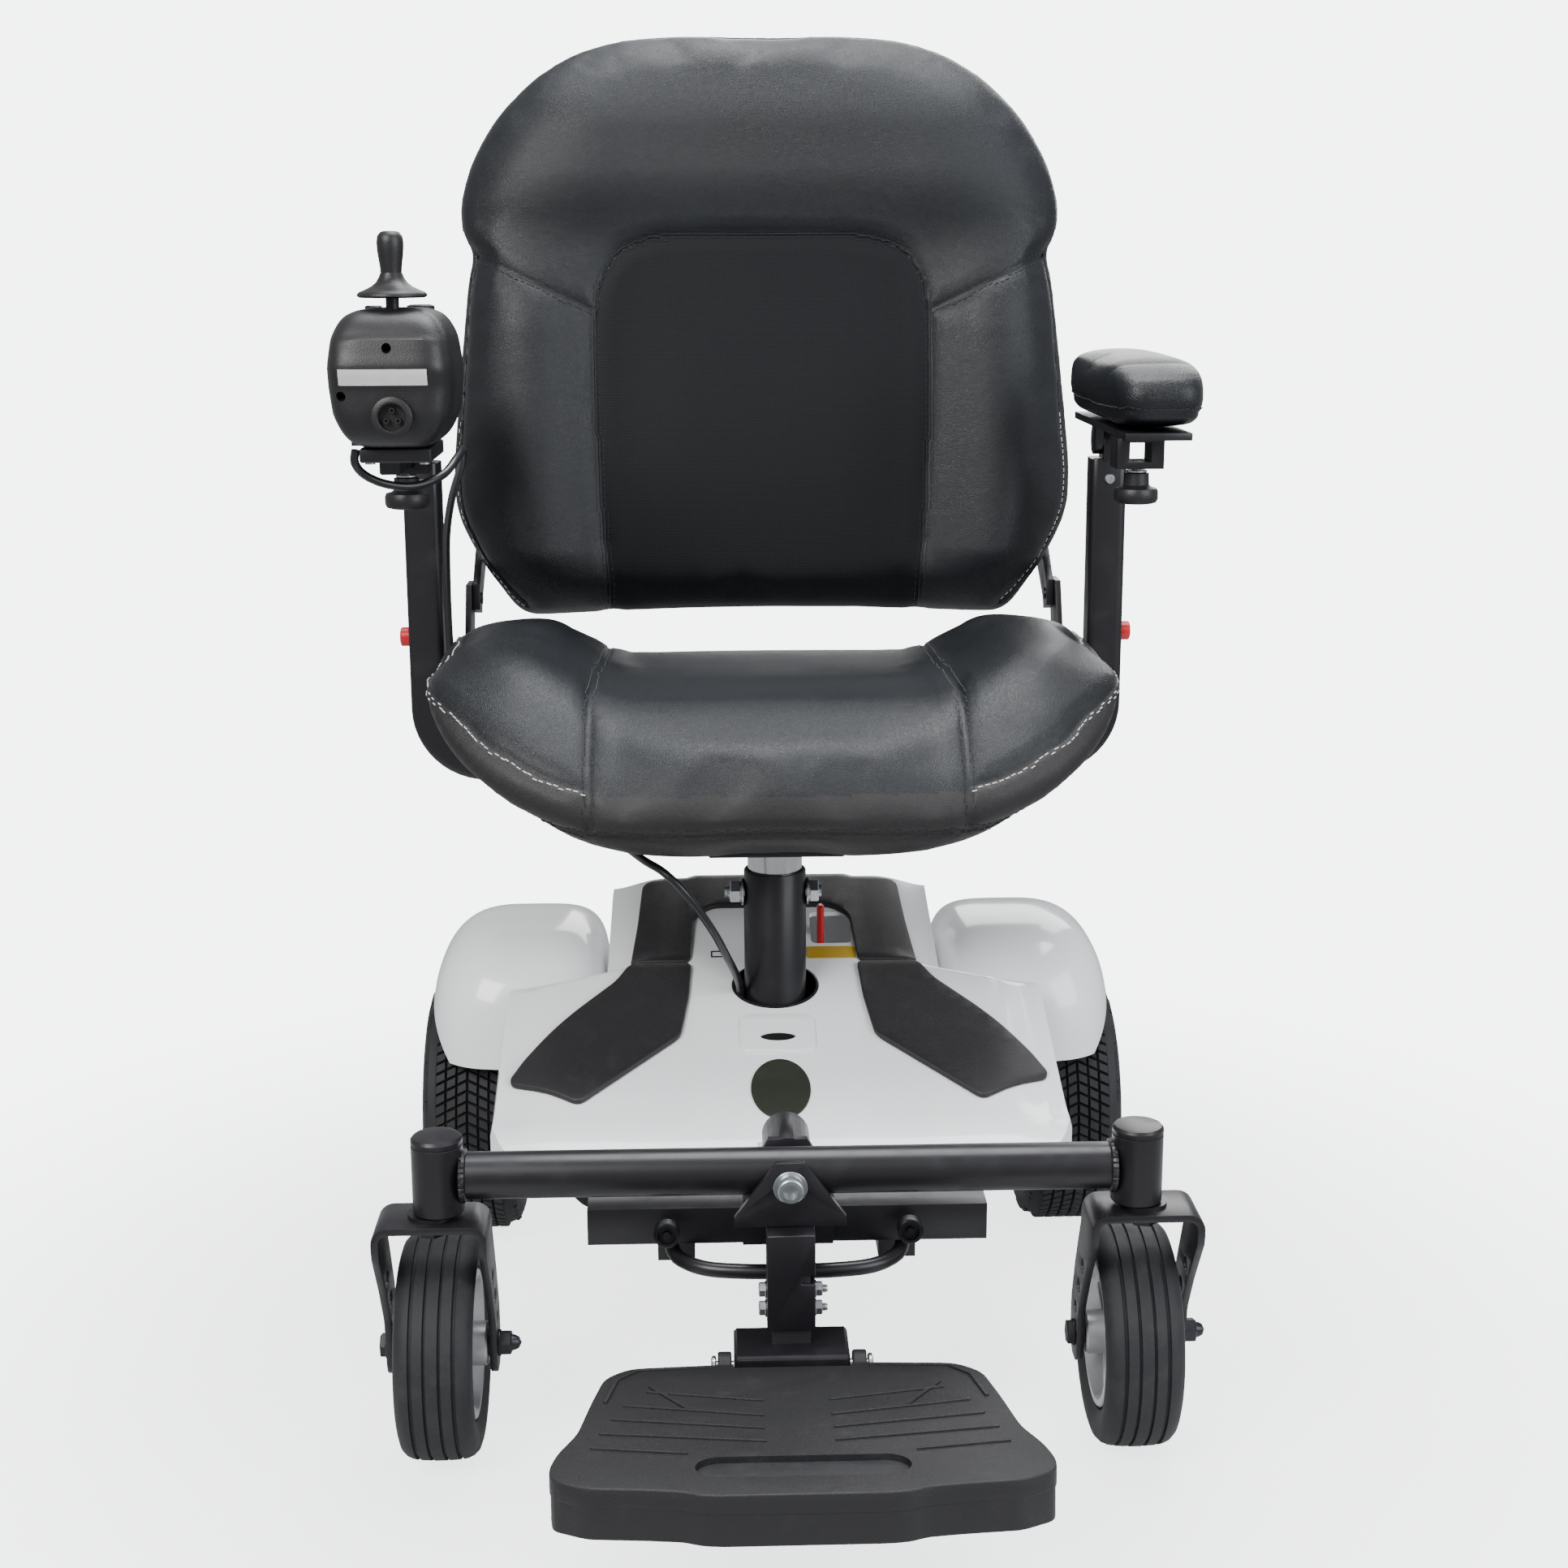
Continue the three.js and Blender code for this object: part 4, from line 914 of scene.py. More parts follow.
def centre_cover():
    """The white centre cover, with its openings lined in black and its round badge left plain."""
    bm = bmesh.new()
    bmesh.ops.create_grid(bm, x_segments=104, y_segments=90, size=1.0)

    def form(places):
        u, v = places[:, 0], (places[:, 1] + 1) / 2
        bow = 38 + 20 * abs(u) ** 3.2
        y = bow + (395 - bow) * v
        half = np.interp(y, [38, 46, 58, 72, 90, 256, 264, 272, 280, 395],
                         [150, 172, 189, 198, 204, 204, 186, 150, 129, 128])
        x = u * half
        return np.stack([x * MM, AXLE_Y + y * MM, cover_height(x, y) * MM], 1)

    reshape(bm, form)
    rim = [e for e in bm.edges if e.is_boundary]
    bmesh.ops.recalc_face_normals(bm, faces=bm.faces)
    if sum(f.normal.z for f in bm.faces) < 0:
        bmesh.ops.reverse_faces(bm, faces=bm.faces)
    for step in range(3):
        out = bmesh.ops.extrude_edge_only(bm, edges=rim)["geom"]
        rim = [g for g in out if isinstance(g, bmesh.types.BMEdge)]
        for vert in {g for g in out if isinstance(g, bmesh.types.BMVert)}:
            vert.co.z = max(0.1622, vert.co.z - (0.006 if step == 0 else 0.2))
            if step == 0:
                vert.co.x *= 1.008
    bmesh.ops.remove_doubles(bm, verts=bm.verts, dist=1e-5)
    worked(bm, ("SOLIDIFY", {"thickness": 0.003, "offset": -1.0}))
    for outline in (ellipse(0, COLUMN_Y + 2, 33.5, 29.5),
                    rounded([(30, 298), (62, 298), (62, 340), (30, 340)], 5), ellipse(0, 180, 14, 6, 32)):
        tool = bmesh.new()
        prism(tool, outline, 140, 330, in_plan)
        carve(bm, tool)
    boss = bmesh.new()
    turned(boss, [(0, -30), (21, -30), (21, 30), (0, 30)], at(0, 38, 199), (0, 1, 0), 40)
    carve(bm, boss)
    made("centre_cover", bm, "chassis", "white_shell", "gloss cover", ["shroud"], 34)
    lining = bmesh.new()
    for rx, ry, x, y, deep in ((33.2, 29.2, 0, COLUMN_Y + 2, 26), (13.7, 5.7, 0, 180, 9)):
        outer, inner = ellipse(x, y, rx, ry), ellipse(x, y, rx - 1.6, ry - 1.6)
        loft(lining, [[at(u, v, cover_height(u, v) + h) for u, v in outline]
                      for outline, h in ((outer, -deep), (outer, 0.4), (inner, 0.9), (inner, -deep))])
    pocket = rounded([(30.4, 298.4), (61.6, 298.4), (61.6, 339.6), (30.4, 339.6)], 5)
    prism(lining, pocket, 226, 229, in_plan)
    prism(lining, ellipse(0, 180, 13.6, 5.6, 32), 215, 217, in_plan)
    made("cover_linings", lining, "chassis", "dark_trim", "moulded plastic")
    badge = bmesh.new()
    prism(badge, ellipse(0, 121, 21.5, 33, 64), 0.2, 1.3, in_plan, 0.4)
    cut_grid(badge, 6)
    draped(badge)
    made("round_badge", badge, "chassis", "dark_trim", "dark badge")
    plate = bmesh.new()
    prism(plate, rounded([(-28, 163), (28, 163), (28, 207), (-28, 207)], 9), 0.1, 1.6, in_plan, 0.6)
    cut_grid(plate, 8)
    hole = bmesh.new()
    prism(hole, ellipse(0, 180, 13.2, 5.4, 32), -5, 8, in_plan)
    carve(plate, hole)
    draped(plate)
    made("cover_service_plate", plate, "chassis", "white_shell", "gloss cover")
    tag = bmesh.new()
    prism(tag, rounded([(26, 278), (64, 278), (64, 293), (26, 293)], 2), 0.1, 0.6, in_plan)
    cut_grid(tag, 8)
    draped(tag)
    made("plain_tag", tag, "chassis", "white_shell", "amber label")
    mark = bmesh.new()
    outline = rounded([(-49, 281), (-36, 281), (-36, 289), (-49, 289)], 1)
    prism(mark, outline, 0.05, 0.5, in_plan)
    inner = bmesh.new()
    prism(inner, rounded([(-47.9, 282), (-37.1, 282), (-37.1, 288), (-47.9, 288)], 1), -3, 4, in_plan)
    carve(mark, inner)
    draped(mark)
    made("embossed_outline", mark, "chassis", "white_shell", "moulded plastic")


def cover_trims():
    """The dark grained trims that lie on the centre cover."""
    band = [(72, 183), (144, 108), (197, 142), (188, 162), (168, 190), (150, 215), (122, 250), (112, 271.6),
            (64, 271.6), (66, 230)]
    for name, sign in SIDES:
        bm = bmesh.new()
        prism(bm, rounded([(sign * x, y) for x, y in band], 7), 0.3, 4.6, in_plan, 1.4, 3)
        cut_grid(bm, 9)
        draped(bm)
        made(f"cover_trim_{name}", bm, "chassis", "dark_trim", "dark trim", [f"trim_{name}"])
    bm = bmesh.new()
    arch = [(65, 274), (112, 274), (107, 330), (104, 386), (-104, 386), (-107, 330), (-112, 274), (-65, 274),
            (-62, 330), (-48, 346), (48, 346), (62, 330)]
    prism(bm, rounded(arch, 8), 0.3, 4.6, in_plan, 1.4, 3)
    cut_grid(bm, 9)
    draped(bm)
    made("cover_trim_arch", bm, "chassis", "dark_trim", "dark trim", ["trim_arch"])


def fenders():
    """The white domed fenders over the drive wheels."""
    for name, sign in SIDES:
        low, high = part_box(f"fender_{name}")
        mid = Vector(((low.x + high.x) / 2, (low.y + high.y) / 2, low.z))
        half = Vector(((high.x - low.x) / 2, (high.y - low.y) / 2, high.z - low.z))
        bm = box_grid(27)
        bmesh.ops.bisect_plane(bm, geom=[*bm.verts, *bm.edges, *bm.faces], plane_co=(0, 0, 0),
                               plane_no=(0, 0, 1), clear_inner=True, dist=1e-6)

        def form(places, mid=mid, half=half, sign=sign):
            across, arch = abs(places[:, 0]), (abs(places[:, 1:]) ** 2.7).sum(1) ** (1 / 2.7)
            power = np.where(places[:, 0] * sign > 0, 2.8, 5.0)
            norm = (across ** power + arch ** power) ** (1 / power)
            return places / np.maximum(norm, 1e-9)[:, None] * np.array(half) + np.array(mid)

        reshape(bm, form)
        worked(bm, ("SOLIDIFY", {"thickness": 0.003, "offset": -1.0}))
        well = bmesh.new()
        turned(well, [(0, 200 * sign), (108, 200 * sign), (108, 300 * sign), (0, 300 * sign)],
               Vector((0, DRIVE.y, DRIVE.z)), (1, 0, 0), 96)
        carve(bm, well)
        made(f"wheel_fender_{name}", bm, "chassis", "white_shell", "gloss cover", [f"fender_{name}"], 34)


# ---- wheels ----------------------------------------------------------------------------------------
def drive_wheels(sizes):
    """The drive wheels: block-tread tyres on painted dished rims."""
    for name, sign in SIDES:
        centre = Vector((sign * DRIVE.x, DRIVE.y, DRIVE.z))
        radius = 102 - sizes.tread_depth / MM
        bm = bmesh.new()
        half = [(62.6, 27), (64, 31), (70, 34), (80, 36.6), (88, 36.8), (94, 34.5), (97, 31.5),
                (radius - 1, 28)]
        tread = [(radius, 25.5), (radius, 17), (radius, 8.5)]
        profile = [*half, *tread, (radius, 0), *[(r, -t) for r, t in reversed(tread)],
                   *[(r, -t) for r, t in reversed(half)]]
        profile.append(profile[0])
        turned(bm, profile, centre, (1, 0, 0), 76)
        for vert in bm.verts:
            spoke = vert.co - centre
            across = abs(spoke.x)
            if spoke.yz.length > (radius - 2) * MM:
                turn = math.tau / 76 * 0.5 * (across / (8.5 * MM))
                vert.co = centre + Quaternion((1, 0, 0), turn).to_matrix() @ spoke
        blocks = [f for f in bm.faces
                  if all((v.co - centre).yz.length > (radius - 0.4) * MM for v in f.verts)]
        bmesh.ops.recalc_face_normals(bm, faces=bm.faces)
        bmesh.ops.inset_individual(bm, faces=blocks, thickness=0.0011, depth=sizes.tread_depth,
                                   use_even_offset=True)
        lugs = [f for f in bm.faces if f not in blocks and abs(f.normal.x) > 0.3
                and 92 * MM < (f.calc_center_median() - centre).yz.length < 97 * MM]
        bmesh.ops.inset_individual(bm, faces=lugs[::2], thickness=0.0008, depth=0.0012, use_even_offset=True)
        made(f"drive_tread_{name}", bm, f"drive_wheel_{name}", "tyre", "tyre rubber",
             [f"drive_tyre_{name}"], 24)
        rim = bmesh.new()
        out = [(8.6, 206), (24, 206), (24, 236), (48, 238), (55, 219), (58, 216), (61, 216), (62, 218),
               (62, 276), (61, 278), (58, 278), (55, 275), (50, 262), (30, 260), (27, 279), (24, 280),
               (8.6, 280), (8.6, 206)]
        turned(rim, [(r, sign * t) for r, t in out], Vector((0, DRIVE.y, DRIVE.z)), (1, 0, 0), 72)
        for k in range(5):
            hole = bmesh.new()
            turn = math.tau * k / 5
            spot = Vector((sign * 250 * MM, DRIVE.y + 0.039 * math.cos(turn),
                           DRIVE.z + 0.039 * math.sin(turn)))
            turned(hole, [(0, -30), (6.5, -30), (6.5, 30), (0, 30)], spot, (1, 0, 0), 24)
            carve(rim, hole)
        made(f"drive_rim_dished_{name}", rim, f"drive_wheel_{name}", "silver_rim", "wheel paint",
             [f"drive_rim_{name}"], 30)


def caster_wheels():
    """The front casters: ribbed tyres, painted rims with ribs, and axle bolts with nuts."""
    for name, sign in SIDES:
        centre = Vector((sign * CASTER.x, CASTER.y, CASTER.z))
        half = [(50.6, 18), (52, 22), (60, 25.4), (66, 25.9), (70, 24.6), (73, 21.6), (74.6, 18)]
        grooves = [(75.1, 15.4), (73.2, 14.9), (73.2, 13.1), (75.5, 12.6), (75.8, 6.0), (73.8, 5.6),
                   (73.8, 4.2), (76.0, 3.8)]
        side = [*half, *grooves]
        profile = [*side, (76.0, 0), *[(r, -t) for r, t in reversed(side)]]
        profile.append(profile[0])
        bm = bmesh.new()
        turned(bm, profile, centre, (1, 0, 0), 112)
        made(f"caster_tread_{name}", bm, f"caster_wheel_{name}", "tyre", "tyre rubber",
             [f"caster_tyre_{name}"], 30)
        rim = bmesh.new()
        out = [(5.4, -30.4), (13.4, -30.4), (14.8, -29), (15.4, -9), (37, -7), (43, -20), (45, -23),
               (49, -23), (50, -22)]
        turned(rim, [*out, *[(r, -t) for r, t in reversed(out)], out[0]], centre, (1, 0, 0), 72)
        for k in range(6):
            turn = math.tau * (k + 0.5) / 6
            spoke = Vector((0, math.cos(turn), math.sin(turn)))
            along = Matrix((Vector((1, 0, 0)), spoke.cross(Vector((1, 0, 0))), spoke)).transposed().to_4x4()
            bmesh.ops.create_cube(rim, size=1.0, matrix=Matrix.Translation(centre + spoke * 0.0255) @ along
                                  @ Matrix.Diagonal((0.032, 0.0045, 0.026, 1.0)))
        made(f"caster_rim_ribbed_{name}", rim, f"caster_wheel_{name}", "silver_rim", "wheel paint",
             [f"caster_rim_{name}"], 30)
        caster_fork(name, sign)


def hexagon(bm, centre, axis, across, low, high, chamfer=0.7):
    """A hexagon head or nut with its corners turned off."""
    r = across / math.sqrt(3)
    turned(bm, [(0, low), (r, low), (r, high - chamfer), (r - chamfer * 1.4, high), (0, high)],
           centre, axis, 6)


def washer(bm, centre, axis, radius, low, high):
    """A plain washer with its outer edges eased."""
    turned(bm, [(0, low), (radius - 0.3, low), (radius, low + 0.3), (radius, high - 0.3),
                (radius - 0.3, high), (0, high)], centre, axis, 40)


def thread_end(bm, centre, axis, radius, low, high, pitch=1.25):
    """The visible turns of a bolt's thread."""
    profile, t = [(0, low)], low
    while t < high - pitch:
        profile += [(radius, t), (radius - 0.55, t + pitch / 2)]
        t += pitch
    turned(bm, [*profile, (radius - 0.8, high), (0, high)], centre, axis, 24)


def caster_fork(name, sign):
    """One fork: a bent flat bar with lightening holes, a stem with its nut, and the axle bolt."""
    c = sign * CASTER.x / MM
    bm = bmesh.new()
    outer, inner = ([(half, 58), *[(half - bend * (1 - math.cos(k * math.pi / 12)),
                                    175 + bend * math.sin(k * math.pi / 12)) for k in range(7)]]
                    for half, bend in ((37, 11), (32, 6)))
    outline = mirrored(outer) + mirrored(inner)[::-1]
    prism(bm, [(c + u, v) for u, v in outline], -60, -18, from_front)
    for z in range(170, 60, -6):
        bmesh.ops.bisect_plane(bm, geom=[*bm.verts, *bm.edges, *bm.faces], plane_co=(0, 0, z * MM),
                               plane_no=(0, 0, 1), dist=1e-6)

    def trail(places):
        y, z = (places[:, 1] - AXLE_Y) / MM, places[:, 2] / MM
        front = np.interp(z, [58, 62, 66, 76, 100, 130, 166, 190], [-6, -11, -13, -14, -16, -34, -60, -60])
        rear = np.interp(z, [58, 62, 66, 76, 96, 130, 166, 190], [6, 11, 13, 15, 15, 2, -16, -18])
        share = (y + 60) / 42
        places[:, 1] = AXLE_Y + (front + (rear - front) * share) * MM
        return places

    reshape(bm, trail)
    bmesh.ops.recalc_face_normals(bm, faces=bm.faces)
    for y, z, r in ((-27, 137, 5.2), (-14, 117, 5.2), (-4, 97, 4.4)):
        hole = bmesh.new()
        turned(hole, [(0, -60), (r, -60), (r, 60), (0, 60)], at(c, y, z), (1, 0, 0), 24)
        carve(bm, hole)
    soften(bm, sharp_edges(bm, angle=50), 0.7, 2)
    turned(bm, [(0, 185.6), (15, 185.6), (15, 188.6), (0, 188.6)], at(c, -39, 0), (0, 0, 1), 40)
    hexagon(bm, at(c, -39, 0), (0, 0, 1), 17, 173.5, 180.8)
    made(f"caster_fork_bent_{name}", bm, f"caster_{name}", "black_steel", "powder coat",
         [f"caster_fork_{name}"], 34)
    bolt = bmesh.new()
    hub = Vector((c * MM, CASTER.y, CASTER.z))
    for way, tall in ((-1, 3.7), (1, 7.4)):
        axis = (way, 0, 0)
        turned(bolt, [(0, 30.7), (9, 30.7), (9, 31.8), (0, 31.8)], hub, axis, 28)
        washer(bolt, hub, axis, 9, 37.2, 38.6)
        hexagon(bolt, hub, axis, 14.5, 38.6, 38.6 + tall)
    turned(bolt, [(0, -40), (4.9, -40), (4.9, 44), (0, 44)], hub, (1, 0, 0), 24)
    turned(bolt, [(0, 46), (5.6, 46), (4.9, 48.6), (3.8, 50.8), (0, 52.6)], hub, (1, 0, 0), 24)
    made(f"caster_axle_bolt_{name}", bolt, f"caster_{name}", "black_steel", "black steel bolt",
         [f"caster_axle_{name}"], 34)


# ---- base steelwork --------------------------------------------------------------------------------
def bead_weld(bm, centre, axis, radius, size=1.7):
    """A rippled fillet weld round a joint."""
    axis = Vector(axis)
    side = axis.orthogonal().normalized()
    other = axis.cross(side)
    route = []
    for k in range(97):
        turn = math.tau * k / 96
        reach = (radius + 0.35 * math.sin(k * 2.1)) * MM
        route.append(centre + (side * math.cos(turn) + other * math.sin(turn)) * reach)
    sweep(bm, route, circle(size * MM, 8))


def front_axle():
    """The rocking front axle: a round beam with capped stem heads and welds."""
    bm = bmesh.new()
    pivot = at(0, -39, 213.2)
    turned(bm, [(0, -212), (15.3, -212), (15.3, 212), (0, 212)], pivot, (1, 0, 0), 56)
    for _, sign in SIDES:
        head = at(sign * 227, -39, 0)
        turned(bm, [(0, 189.2), (15.8, 189.2), (16.7, 190.2), (16.7, 234.9), (16.1, 235.4), (16.1, 236),
                    (16.7, 236.5), (16.7, 239.1), (15.2, 240.9), (12, 241.5), (0, 241.5)],
               head, (0, 0, 1), 56)
        bead_weld(bm, at(sign * 210.5, -39, 213.2), (1, 0, 0), 15.4, 2.4)
    made("front_axle_tube", bm, "front_axle", "black_steel", "powder coat", ["front_axle_beam"], 34)


def column():
    """The seat column, its cross bolt with washers, and the bright post inside it."""
    low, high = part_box("column_tube")
    foot, top = low.z / MM, high.z / MM
    axis_at = at(0, COLUMN_Y, 0)
    bm = bmesh.new()
    turned(bm, [(21.0, foot), (23.5, foot), (23.5, top - 1.2), (22.8, top), (21.6, top), (21.0, top - 0.6),
                (21.0, foot)], axis_at, (0, 0, 1), 80)
    made("seat_column", bm, "chassis", "black_steel", "powder coat", ["column_tube"], 34)
    bolt = bmesh.new()
    spot = at(0, COLUMN_Y, 322)
    turned(bolt, [(0, -35), (4.8, -35), (4.8, 35), (0, 35)], spot, (1, 0, 0), 24)
    for way in (-1, 1):
        washer(bolt, spot, (way, 0, 0), 10.5, 23.6, 25.4)
        washer(bolt, spot, (way, 0, 0), 8.2, 25.4, 26.8)
    hexagon(bolt, spot, (1, 0, 0), 16, 26.8, 33)
    hexagon(bolt, spot, (-1, 0, 0), 16, 26.8, 34)
    thread_end(bolt, spot, (-1, 0, 0), 4.8, 34, 38)
    made("column_cross_bolt", bolt, "chassis", "zinc", "zinc plate", ["column_bolt"], 34)
    low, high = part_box("seat_post")
    post = bmesh.new()
    turned(post, [(17.8, low.z / MM), (20.6, low.z / MM), (20.6, high.z / MM), (17.8, high.z / MM),
                  (17.8, low.z / MM)], axis_at, (0, 0, 1), 80)
    slot = bmesh.new()
    prism(slot, rounded([(COLUMN_Y - 5.8, 256), (COLUMN_Y + 5.8, 256), (COLUMN_Y + 5.8, 328.2),
                         (COLUMN_Y - 5.8, 328.2)], 5.6, 6), -30, 30, from_side)
    carve(post, slot)
    made("bright_seat_post", post, "lift_post", "chrome_post", "bright plate", ["seat_post"], 34)


def steelwork():
    """The welded frame and the other steel pieces, their edges rounded, with their small fasteners."""
    for node, width in (("main_frame", 1.0), ("pivot_bracket", 0.9), ("footrest_hanger", 0.8),
                        ("footrest_post", 0.8), ("swivel_plate", 0.7), ("seat_pan", 0.8), ("back_frame", 0.8),
                        ("arm_bracket_left", 0.6), ("arm_bracket_right", 0.6), ("pod_mount", 0.6)):
        refined(node, "powder coat", width)
    loop = bmesh.new()
    half = [at(*p) for p in ((78, 0, 150.2), (78, -0.5, 146.2), (73, -12, 141), (56, -27, 140),
                             (30, -33, 140))]
    other = [Vector((-p.x, p.y, p.z)) for p in reversed(half)]
    sweep(loop, even_route([*half, at(0, -34, 140), *other], 0.006), circle(0.005, 16))
    made("tiedown_rod", loop, "chassis", "black_steel", "powder coat", ["tiedown_loop"])
    low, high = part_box("footplate_pin")
    pin = bmesh.new()
    centre = (low + high) / 2
    turned(pin, [(0, -50), (3.9, -50), (3.9, 50), (0, 50)], centre, (1, 0, 0), 28)
    for way in (-1, 1):
        turned(pin, [(0, 48.6), (6.5, 48.6), (7.2, 49.4), (7.2, 51), (5.4, 52), (0, 52)],
               centre, (way, 0, 0), 28)
    made("footplate_hinge_pin", pin, "footrest", "zinc", "zinc plate", ["footplate_pin"])
    pivot = bmesh.new()
    spot = at(0, 0, 211)
    turned(pivot, [(0, -66), (4.7, -66), (4.7, 35), (0, 35)], spot, (0, 1, 0), 24)
    washer(pivot, at(0, -62.3, 211), (0, -1, 0), 11, 0, 1.6)
    turned(pivot, [(0, 1.6), (8, 1.6), (8.3, 2.2), (8.3, 8), (7.5, 8.8), (5.2, 8.8), (5.2, 4.4), (0, 4.4)],
           at(0, -62.3, 211), (0, -1, 0), 36)
    made("front_pivot_bolt", pivot, "chassis", "zinc", "zinc plate", ["pivot_bolt"], 34)
    small = bmesh.new()
    for x in (-80, 80):
        stub = at(x, -24, 166)
        turned(small, [(0, 0), (8, 0), (8.6, 1), (8.6, 9), (7.8, 10), (6, 10), (5.4, 7), (3, 7), (2.6, 9),
                       (0, 9)], stub, (0, -1, 0), 30)
    made("crossbar_end_pins", small, "chassis", "black_steel", "black steel bolt", (), 34)
    bolts = bmesh.new()
    for z in (140, 127):
        spot = at(0, -60.5, z)
        for way in (-1, 1):
            washer(bolts, spot, (way, 0, 0), 5.6, 15.6, 16.6)
            hexagon(bolts, spot, (way, 0, 0), 8.6, 16.6, 20.6, 0.5)
        thread_end(bolts, spot, (1, 0, 0), 2.8, 20.6, 24, 0.9)
    made("hanger_clamp_bolts", bolts, "chassis", "zinc", "zinc plate", (), 34)


def drive_gear():
    """Battery box, motors, release lever and the two rear anti-tip wheels."""
    for node in ("battery_box", "gear_motor_left", "gear_motor_right", "swivel_lever"):
        refined(node, "moulded plastic", 1.2)
    refined("freewheel_lever", "red plastic", 0.7, name="release_lever_red")
    for name, _ in SIDES:
        low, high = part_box(f"antitip_wheel_{name}")
        mid, half = (low + high) / 2, (high.x - low.x) / 2 / MM
        bm = bmesh.new()
        turned(bm, [(4.4, -half), (9, -half), (10, 1 - half), (11, 4 - half), (19, 4 - half),
                    (21, -half + 1), (24.6, -half), (26.6, 2 - half), (26.9, 0), (26.6, half - 2),
                    (24.6, half), (21, half - 1), (19, half - 4), (11, half - 4), (10, half - 1),
                    (9, half), (4.4, half), (4.4, -half)], mid, (1, 0, 0), 56)
        made(f"antitip_roller_{name}", bm, f"antitip_{name}", "tyre", "tyre rubber",
             [f"antitip_wheel_{name}"])


# ---- footplate -------------------------------------------------------------------------------------
PIN = middle("footplate_pin")
TILT = math.radians(7.2)


def on_plate(u, v, w):
    """A place on the footplate: u across, v behind the hinge pin and w above it."""
    return Vector((u * MM, PIN.y + (v * math.cos(TILT) + w * math.sin(TILT)) * MM,
                   PIN.z + (w * math.cos(TILT) - v * math.sin(TILT)) * MM))


def footplate():
    """The moulded footplate: raised rim, V ribs, a toe pocket and a deep front lip."""
    outline = [(0.2, -9), (48, -9), (104, -13), (119, -30), (125, -70), (131, -120), (141, -150),
               (144.4, -172), (142, -188), (122, -200), (88, -203.5), (68, -206.5), (58, -212),
               (46, -213.6), (0.2, -213.6)]
    shape = rounded(mirrored(outline), 9, 4)
    bm = bmesh.new()
    prism(bm, shape, -7, 4.9, on_plate, 1.1, 3)
    front = [(143.8, -168), (141.6, -187.6), (121.6, -199.6), (88, -203), (67.6, -206), (57.6, -211.4),
             (46, -213), (0.2, -213)]
    lip = bmesh.new()
    prism(lip, rounded([*front, *[(-x, y) for x, y in reversed(front)], (-136, -160), (136, -160)], 5, 3),
          -25.4, -2, on_plate, 1.2, 3)
    carve(bm, lip, "UNION")
    slot = bmesh.new()
    pocket = [(47 + 14.5 * math.sin(math.pi * k / 12), -174 + 14.5 * math.cos(math.pi * k / 12))
              for k in range(13)]
    pocket += [(-x, y) for x, y in reversed(pocket)]
    prism(slot, pocket, 1.2, 20, on_plate)
    carve(bm, slot)
    knuckle = bmesh.new()
    prism(knuckle, [(-38, -15.5), (38, -15.5), (38, 15), (-38, 15)], -20, 20, on_plate)
    carve(bm, knuckle)
    ribs = bmesh.new()
    for k, (half, y0, y1) in enumerate(((92, -56, -74), (106, -78, -98), (112, -100, -118), (118, -122, -138),
                                        (122, -144, -154))):
        for _, sign in SIDES:
            x0, x1 = sign * half, sign * (20 if k < 4 else 66)
            bar = [(x0, y0 - 1.1), (x1, y1 - 1.1), (x1, y1 + 1.1), (x0, y0 + 1.1)]
            prism(ribs, rounded(bar, 0.9, 3), 4.2, 6.0, on_plate, 0.6, 2)
    for _, sign in SIDES:
        edge = [(sign * x, y) for x, y in ((50, -14), (100, -18), (112, -34), (118, -72))]
        thin = [(x - sign * 2.4, y - 1.6) for x, y in edge]
        prism(ribs, rounded([*edge, *reversed(thin)], 0.8, 2), 4.2, 6.2, on_plate, 0.5, 2)
        dip = [(sign * x, y) for x, y in ((20, -96), (66, -82), (88, -46), (91, -47.6), (68, -85), (21, -99))]
        prism(ribs, dip, 4.2, 5.8, on_plate)
    grip = bmesh.new()
    inner = [(x * 0.97, -174 + (y + 174) * 0.86) for x, y in pocket]
    prism(grip, inner, 0.9, 1.9, on_plate, 0.4)
    for _, sign in SIDES:
        eye = Vector((sign * 43.2 * MM, PIN.y, PIN.z))
        turned(bm, [(4.3, -4.4), (8.8, -4.4), (9.5, -3.6), (9.5, 3.6), (8.8, 4.4), (4.3, 4.4), (4.3, -4.4)],
               eye, (1, 0, 0), 40)
    made("footplate_moulding", bm, "footplate", "black_plastic", "footplate plastic", ["footplate"], 34)
    made("footplate_ribs", ribs, "footplate", "black_plastic", "footplate plastic", (), 34)
    made("footplate_grip_strip", grip, "footplate", "black_plastic", "tyre rubber", (), 34)
    face = bmesh.new()
    prism(face, rounded([(-36, 84), (36, 84), (36, 107), (-36, 107)], 2.5),
          PIN.y / MM - AXLE_Y / MM - 9.6, PIN.y / MM - AXLE_Y / MM - 7.6, from_front, 0.6)
    made("hinge_front_plate", face, "footrest", "black_steel", "powder coat", (), 34)


